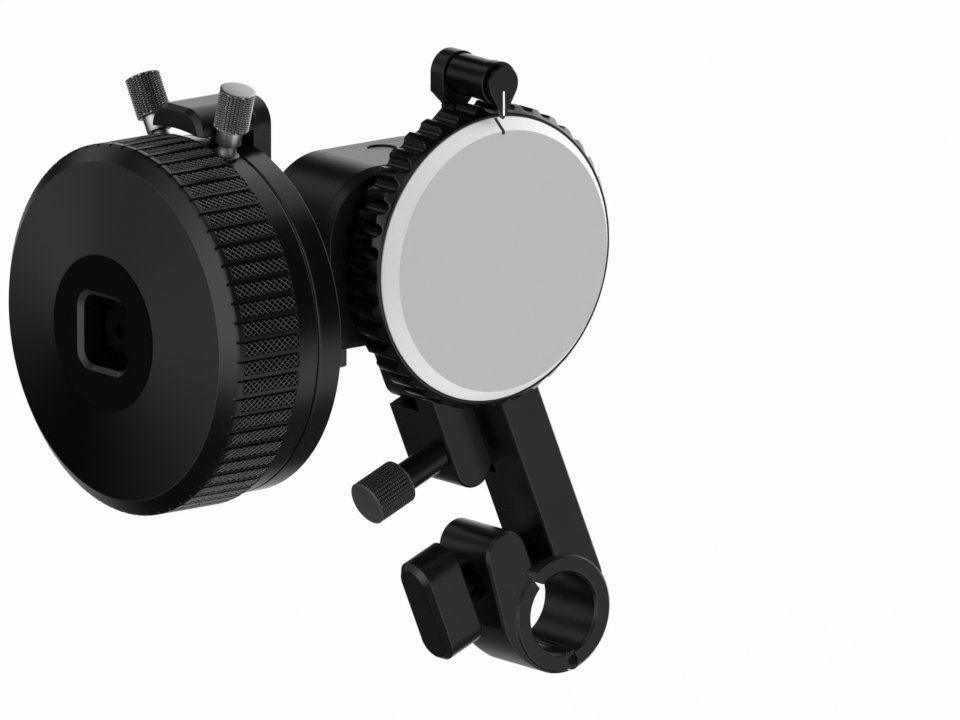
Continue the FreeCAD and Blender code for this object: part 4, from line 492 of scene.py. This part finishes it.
def thumbProfile():
    foot = thumb["ring"] + thumb["gap"]
    waist = foot + thumb["footHigh"]
    neck = waist + thumb["neckHigh"]
    top = neck + thumb["headHigh"]
    edge = thumb["edge"]
    flare = [(foot + thumb["footHigh"] * t,
              thumb["waist"] + (thumb["foot"] - thumb["waist"]) * (1 - t) ** 2.2)
             for t in np.linspace(0.22, 0.92, 8)]
    return [(thumb["ring"] - thumb["reach"], thumb["stud"]), (foot, thumb["stud"]),
            (foot + 0.001, thumb["foot"] - 0.1), (foot + 0.1, thumb["foot"]),
            (foot + 0.35, thumb["foot"]), *flare, (waist, thumb["waist"] + 0.05),
            (waist + 0.15, thumb["neck"] - 0.05), (waist + 0.3, thumb["neck"]),
            (neck, thumb["neck"]), (neck + 0.01, thumb["head"] - edge),
            (neck + edge * 0.5, thumb["head"] - edge * 0.35),
            (top - edge * 0.4, thumb["head"] - edge * 0.25),
            (top - 0.02, thumb["head"] - edge), (top, thumb["head"] - edge - 0.1)], \
        (neck + edge, top - edge)


# where each stop screw stands: its place behind the wheel's face, and its lean in degrees
stands = {"front": {"along": 21.525, "lean": 15.8}, "rear": {"along": 26.825, "lean": -29.2}}


def stopScrew(name, stand, body, replaced):
    profile, (low, high) = thumbProfile()
    turn = math.radians(stands[stand]["lean"])
    axis = np.array([0, -math.sin(turn), math.cos(turn)])
    side = np.array([1.0, 0, 0])
    place = (np.array([axes["wheelFace"] + stands[stand]["along"], axes["wheelY"],
                       axes["wheelZ"]]), side, np.cross(axis, side), axis)
    # the neck and foot get the darker nickel, painted shade under the head
    return knurledScrew(name, profile, (low, high, thumb["rows"], thumb["count"],
                                        thumb["depth"]),
                        place, body, replaced, "thumbSteel",
                        ("thumbNeckShaded", low - thumb["edge"] - 0.005))


lock = {"q": -7.1, "p": 36.2, "y": 4.0, "tilt": 22.3, "neck": 2.75, "neckLong": 9.6,
        "radius": 4.45, "head": 8.7, "edge": 0.6, "stud": 1.2, "tip": -13.0,
        "count": 34, "rows": 18, "depth": 0.36}


def lockKnob():
    tilt = math.radians(lock["tilt"])
    along = np.array([math.cos(tilt), 0, math.sin(tilt)])
    up = np.array([-math.sin(tilt), 0, math.cos(tilt)])
    origin = along * lock["q"] + up * lock["p"] + np.array([0, lock["y"], 0])
    start, end = lock["neckLong"], lock["neckLong"] + lock["head"]
    edge, head = lock["edge"], lock["radius"]
    profile = [(lock["tip"], lock["stud"]), (0.01, lock["stud"]), (0.02, lock["neck"] - 0.1),
               (0.12, lock["neck"]), (start - 0.01, lock["neck"]), (start, head - edge),
               (start + edge * 0.5, head - edge * 0.35),
               (end - edge * 0.5, head - edge * 0.3), (end - 0.02, head - edge),
               (end, head - edge - 0.15)]
    place = (origin, up, np.cross(-along, up), -along)
    return knurledScrew("lockKnob", profile, (start + edge, end - edge, lock["rows"],
                                              lock["count"], lock["depth"]),
                        place, "lock", "lock_knob", "greyKnurl",
                        ("blackAnodised", start - 0.005))


# plug in the gearbox's top
plug = {"left": 8.2, "y": 7.9, "radius": 2.74, "top": 88.72, "foot": 85.4, "edge": 0.3,
        "around": 64}


def topPlug():
    # a short turned plug: rings of (height, radius), closed by a pole at each end
    rings = np.array([[plug["foot"], plug["radius"]], [plug["top"] - plug["edge"],
                                                       plug["radius"]],
                      [plug["top"], plug["radius"] - plug["edge"]]])
    turn = np.arange(plug["around"]) / plug["around"] * 2 * math.pi
    x = axes["outputX"] - plug["left"] + rings[None, :, 1] * np.cos(turn[:, None])
    y = plug["y"] + rings[None, :, 1] * np.sin(turn[:, None])
    z = np.broadcast_to(rings[None, :, 0], x.shape)
    points = np.stack([x, y, z], -1).reshape(-1, 3)
    middle = [axes["outputX"] - plug["left"], plug["y"]]
    points = np.concatenate([points, [[*middle, plug["foot"]], [*middle, plug["top"]]]])
    here, count = np.arange(plug["around"]), len(rings)
    ahead = (here + 1) % plug["around"]
    sides = np.concatenate([np.stack([here * count + k, ahead * count + k,
                                      ahead * count + k + 1, here * count + k + 1], -1)
                            for k in range(count - 1)])
    foot = np.stack([ahead * count, here * count, np.full_like(here, len(points) - 2)], -1)
    top = np.stack([here * count + count - 1, ahead * count + count - 1,
                    np.full_like(here, len(points) - 1)], -1)
    return addPiece("topPlug", points, sides.tolist() + foot.tolist() + top.tolist(),
                    "blackAnodised", "carriage", ["top_plug"])


# pointer arm with its waist
arm = {"rise": 32.95, "head": 4.15, "half": 4.0, "waist": 1.6, "foot": 17.6, "shoulder": 24.0,
       "waistLow": 26.0, "waistHigh": 27.0, "cheek": 29.6, "front": -5.0, "back": -1.35,
       "plateFoot": 11.5, "plateTop": 25.9, "plateFront": -6.9, "plateBack": -5.0}


def extruded(outline, front, back):
    # a closed prism: the outline's (x, z) points at the front's y, then at the back's y
    count = len(outline)
    layers = [np.column_stack([axes["outputX"] + outline[:, 0], np.full(count, y),
                               axes["outputZ"] + outline[:, 1]]) for y in (front, back)]
    here = np.arange(count)
    ahead = (here + 1) % count
    sides = np.stack([ahead, here, here + count, ahead + count], -1).tolist()
    return np.concatenate(layers), sides + [here.tolist(), (here[::-1] + count).tolist()]


def pointerArm():
    # right half of the post from its foot up to the head's round top, then mirrored
    turn = np.linspace(0, math.pi, 33)
    top = np.column_stack([arm["head"] * np.cos(turn), arm["rise"] + arm["head"] * np.sin(turn)])
    right = np.array([[arm["half"], arm["foot"]], [arm["half"], arm["shoulder"]],
                      [arm["waist"], arm["waistLow"]], [arm["waist"], arm["waistHigh"]],
                      [arm["head"], arm["cheek"]]])
    left = right[::-1] * [-1, 1]
    post, postFaces = extruded(np.concatenate([right, top, left]), arm["front"], arm["back"])
    half = arm["half"]
    plate, plateFaces = extruded(np.array([[half, arm["plateFoot"]], [half, arm["plateTop"]],
                                           [-half, arm["plateTop"]],
                                           [-half, arm["plateFoot"]]]),
                                 arm["plateFront"], arm["plateBack"])
    faces = postFaces + [[v + len(post) for v in face] for face in plateFaces]
    return addPiece("pointerArm", np.concatenate([post, plate]), faces, "blackAnodised",
                    "carriage", ["pointer_arm"])


# index mark on the disc's bevel
index = {"outer": 26.25, "inner": 23.6, "halfWide": 0.34, "lift": 0.03, "bevelDeep": 2.5,
         "bevelOuter": 26.3, "bevelInner": 24.2}


def indexMark():
    # a thin strip that lies on the bevel: along the slope by t, across by s
    bend = (index["outer"] - index["bevelInner"]) / (index["outer"] - index["inner"])
    t = np.array([0, bend / 2, bend, (bend + 1) / 2, 1])[:, None]
    s = np.array([-1.0, 1.0])[None, :] * index["halfWide"]
    radius = index["outer"] + (index["inner"] - index["outer"]) * t
    depth = (index["bevelOuter"] - radius) / (index["bevelOuter"] - index["bevelInner"]) \
        * index["bevelDeep"]
    depth = np.minimum(depth, index["bevelDeep"])
    layers = []
    for lift in (-0.05, index["lift"]):
        x = np.broadcast_to(axes["outputX"] + s, (5, 2))
        y = np.broadcast_to(axes["discEdge"] - depth - lift, (5, 2))
        z = np.broadcast_to(axes["outputZ"] + radius, (5, 2))
        layers.append(np.stack([x, y, z], -1).reshape(-1, 3))
    points = np.concatenate(layers)
    faces = []
    for k in range(4):
        a, b, c, d = 2 * k, 2 * k + 1, 2 * k + 3, 2 * k + 2
        faces.append([a + 10, d + 10, c + 10, b + 10])
        faces.append([a, b, c, d])
        faces.append([a, d, d + 10, a + 10])
        faces.append([b, b + 10, c + 10, c])
    faces += [[0, 10, 11, 1], [8, 9, 19, 18]]
    return addPiece("indexMark", points, faces, "blackPaint", "marker")


knurledRim()
scallopedWheel()
stopScrew("stopScrewFront", "front", "front_stop_screw", "stop_screw_front")
stopScrew("stopScrewRear", "rear", "rear_stop_screw", "stop_screw_rear")
lockKnob()
topPlug()
pointerArm()
indexMark()
print("pieces made")


# the finish of each CAD node
finishOf = {
    "blackAnodised": ["clamp_arm", "clamp_jaw", "wing_knob", "slide_block", "gearbox_housing",
                      "gearbox_cover", "stop_bracket", "neck_tube"],
    "ringAnodised": ["stop_ring_front", "stop_ring_rear", "pointer_barrel", "pointer_plate"],
    "wheelFace": ["handwheel_face"],
    "hubAndPitShade": ["socket_hub", "wheel_screw"],
    "greyKnurl": ["drag_screw"],
    "blackOxide": ["jaw_pin", "wing_washer", "wing_stud", "foot_screws", "cover_screws",
                   "drive_screw", "bracket_screws", "pointer_screws"],
    "groundSteel": ["output_bearing_front", "output_bearing_rear", "wheel_bearing_outer",
                    "wheel_bearing_inner", "output_shaft", "drive_hub", "wheel_shaft",
                    "output_gear", "pointer_pin"],
    "nickel": ["disc_magnet"],
    "brass": ["lock_pad", "shaft_bush", "wheel_gear"],
    "acetal": ["drive_gear"],
    "whitePaint": ["pointer_line"],
}
for look, members in finishOf.items():
    for member in members:
        nodes[member].data.materials.clear()
        nodes[member].data.materials.append(finish[look])

# the disc: white enamel, the flat face inside the white bevel painted light grey as shade
disc = nodes["marking_disc"]
disc.data.materials.clear()
disc.data.materials.append(finish["discBevel"])
disc.data.materials.append(finish["discFaceShade"])
faceLevel = (axes["discEdge"] - index["bevelDeep"] + 0.01) * mm
for polygon in disc.data.polygons:
    polygon.material_index = 1 if polygon.center.y < faceLevel else 0

# the socket's chamfer is painted a lighter grey than the hub's flat face, as a highlight
hub = nodes["socket_hub"]
chamfer = {"steepest": -0.95, "flattest": -0.3}
hub.data.materials.append(finish["paintedEdgeHighlight"])
for polygon in hub.data.polygons:
    chamferHighlight = chamfer["steepest"] < polygon.normal.x < chamfer["flattest"]
    polygon.material_index = 1 if chamferHighlight else 0
print("finishes given")


studio = {"floorZ": -95.0, "floorSize": 6000.0, "lens": 1250.0, "azimuth": -38.5,
          "elevation": 12.8, "scale": 5.455, "lookX": 480.0, "lookY": 360.0,
          "anchorX": 562.8, "anchorY": 613.1, "anchorDepth": -7.0, "wide": 960.0,
          "sensor": 36.0, "near": 0.5, "far": 60.0, "dim": 0.02, "soft": 0.41,
          "glow": 0.97, "lampsX": -45.0, "lampsZ": 50.0}
# area lights: place along the camera's right, up and back, side of the square, power
lamps = {"fill": {"spot": (146, -219, 361), "side": 200, "power": 1.4},
         "side": {"spot": (359, 275, 6), "side": 300, "power": 1.0}}
# white areas that only glossy rays see: direction, where it starts and is full, share.
# A separate fitting program made all rows but the last, two of them with a width or share
# changed by hand. This isn't plain soft studio light: a few large areas that are placed by
# hand should take its place.
areas = [
    ((0.937, 0.305, 0.168), 0.62, 0.90, 1.15),
    ((-0.965, 0.074, 0.250), 0.62, 0.90, 0.78),
    ((0.186, -0.843, -0.505), 0.80, 0.97, 1.37),
    ((0.625, 0.684, -0.377), 0.80, 0.97, 0.48),
    ((0.611, 0.092, 0.786), 0.90, 0.985, 0.46),
    ((-0.128, 0.879, 0.459), 0.955, 0.995, 0.69),
    ((-0.336, -0.673, 0.659), 0.955, 0.995, 0.83),
    ((-0.982, -0.138, 0.132), 0.80, 0.97, 1.05),
    ((-0.429, 0.903, 0.032), 0.955, 0.995, 0.56),
    ((0.953, 0.094, 0.286), 0.955, 0.995, 1.96),
    ((0.265, -0.964, -0.005), 0.955, 0.995, 0.40),
    ((-0.036, 0.840, -0.541), 0.955, 0.995, 0.11),
    ((-0.840, 0.435, -0.323), 0.955, 0.995, 0.35),
    ((0.179, -0.316, -0.932), 0.62, 0.90, 0.09),
    ((-0.677, -0.700, -0.220), 0.88, 0.985, 0.9),
]


def backdrop():
    # white where the camera or a clear surface sees it, soft areas where a glossy one does
    world = bpy.data.worlds.new("studioWorld")
    bpy.context.scene.world = world
    world.use_nodes = True
    tree = world.node_tree
    tree.nodes.clear()
    path = addNode(tree, "ShaderNodeLightPath")
    place = addNode(tree, "ShaderNodeTexCoord")
    total = None
    for direction, start, full, share in areas:
        toward = addNode(tree, "ShaderNodeVectorMath", {"operation": "DOT_PRODUCT"})
        tree.links.new(place.outputs["Generated"], toward.inputs[0])
        toward.inputs[1].default_value = direction
        area = addNode(tree, "ShaderNodeMapRange", {"interpolation_type": "SMOOTHSTEP"}, {
            "Value": (toward, "Value"), "From Min": start, "From Max": full, "To Min": 0.0,
            "To Max": share})
        if total is None:
            total = area
            continue
        total = addMath(tree, "ADD", total.outputs[0], area.outputs[0])
    level = addMath(tree, "ADD", total.outputs[0], studio["dim"])
    white = linear("ffffff")
    soft = addNode(tree, "ShaderNodeBackground", inputs={
        "Color": white, "Strength": studio["soft"]})
    seen = addNode(tree, "ShaderNodeBackground", inputs={"Color": white, "Strength": 1.0})
    mirrored = addNode(tree, "ShaderNodeBackground", inputs={
        "Color": white, "Strength": (level, "Value")})
    either = addMix(tree, (path, "Is Glossy Ray"), soft, mirrored)
    direct = addMath(tree, "MAXIMUM", path.outputs["Is Camera Ray"],
                     path.outputs["Is Transmission Ray"])
    final = addMix(tree, (direct, "Value"), either, seen)
    out = addNode(tree, "ShaderNodeOutputWorld")
    tree.links.new(final.outputs[0], out.inputs["Surface"])


def makeFloor():
    mesh = bpy.data.meshes.new("floor")
    half = studio["floorSize"] / 2 * mm
    z = studio["floorZ"] * mm
    mesh.from_pydata([(-half, -half, z), (half, -half, z), (half, half, z), (-half, half, z)],
                     [], [(0, 1, 2, 3)])
    # glowing white to the camera, plain white paint to soft light, unseen in reflections
    material, tree = newMaterial("pale_floor_paint")
    path = addNode(tree, "ShaderNodeLightPath")
    paint = addNode(tree, "ShaderNodeBsdfDiffuse", inputs={"Color": linear("f4f4f4")})
    glow = addNode(tree, "ShaderNodeEmission", inputs={"Color": linear("ffffff")})
    clear = addNode(tree, "ShaderNodeBsdfTransparent")
    share = addMath(tree, "MULTIPLY", path.outputs["Is Camera Ray"], studio["glow"])
    mix = addMix(tree, (share, "Value"), paint, glow)
    last = addMix(tree, (path, "Is Glossy Ray"), mix, clear)
    out = addNode(tree, "ShaderNodeOutputMaterial")
    tree.links.new(last.outputs[0], out.inputs["Surface"])
    mesh.materials.append(material)
    floor = bpy.data.objects.new("floor", mesh)
    bpy.context.scene.collection.objects.link(floor)


# right, up and back of the camera, as unit vectors in the part's frame
def cameraAxes():
    a, e = math.radians(studio["azimuth"]), math.radians(studio["elevation"])
    right = Vector((math.cos(a), math.sin(a), 0))
    back = Vector((math.sin(a) * math.cos(e), -math.cos(a) * math.cos(e), math.sin(e)))
    return right, back.cross(right), back


def softbox(name):
    # an area light that looks at the middle of the unit
    lampData = lamps[name]
    away = sum((way * far for way, far in zip(cameraAxes(), lampData["spot"])), Vector())
    light = bpy.data.lights.new(name, "AREA")
    light.shape = "RECTANGLE"
    light.size = light.size_y = lampData["side"] * mm
    light.energy = lampData["power"]
    lamp = bpy.data.objects.new(name, light)
    bpy.context.scene.collection.objects.link(lamp)
    lamp.visible_glossy = False
    lamp.location = (Vector((studio["lampsX"], 0, studio["lampsZ"])) + away) * mm
    lamp.rotation_mode = "QUATERNION"
    lamp.rotation_quaternion = away.to_track_quat("Z", "Y")


def makeCamera():
    right, up, back = cameraAxes()
    # the anchor is the middle of the clamp's front face; the rest follows from its place
    anchor = Vector((0, studio["anchorDepth"], 0))
    shift = right * ((studio["lookX"] - studio["anchorX"]) / studio["scale"]) \
        - up * ((studio["lookY"] - studio["anchorY"]) / studio["scale"])
    middle = anchor + shift
    distance = studio["wide"] / studio["scale"] * studio["lens"] / studio["sensor"]
    data = bpy.data.cameras.new("camera")
    data.lens = studio["lens"]
    data.sensor_width = studio["sensor"]
    camera = bpy.data.objects.new("camera", data)
    bpy.context.scene.collection.objects.link(camera)
    camera.location = (middle + back * distance) * mm
    camera.rotation_mode = "QUATERNION"
    camera.rotation_quaternion = back.to_track_quat("Z", "Y")
    data.clip_start, data.clip_end = studio["near"], studio["far"]
    bpy.context.scene.camera = camera


backdrop()
makeFloor()
for name in lamps:
    softbox(name)
makeCamera()
bpy.context.scene.view_settings.view_transform = "Standard"
print("stage, lights and camera set")
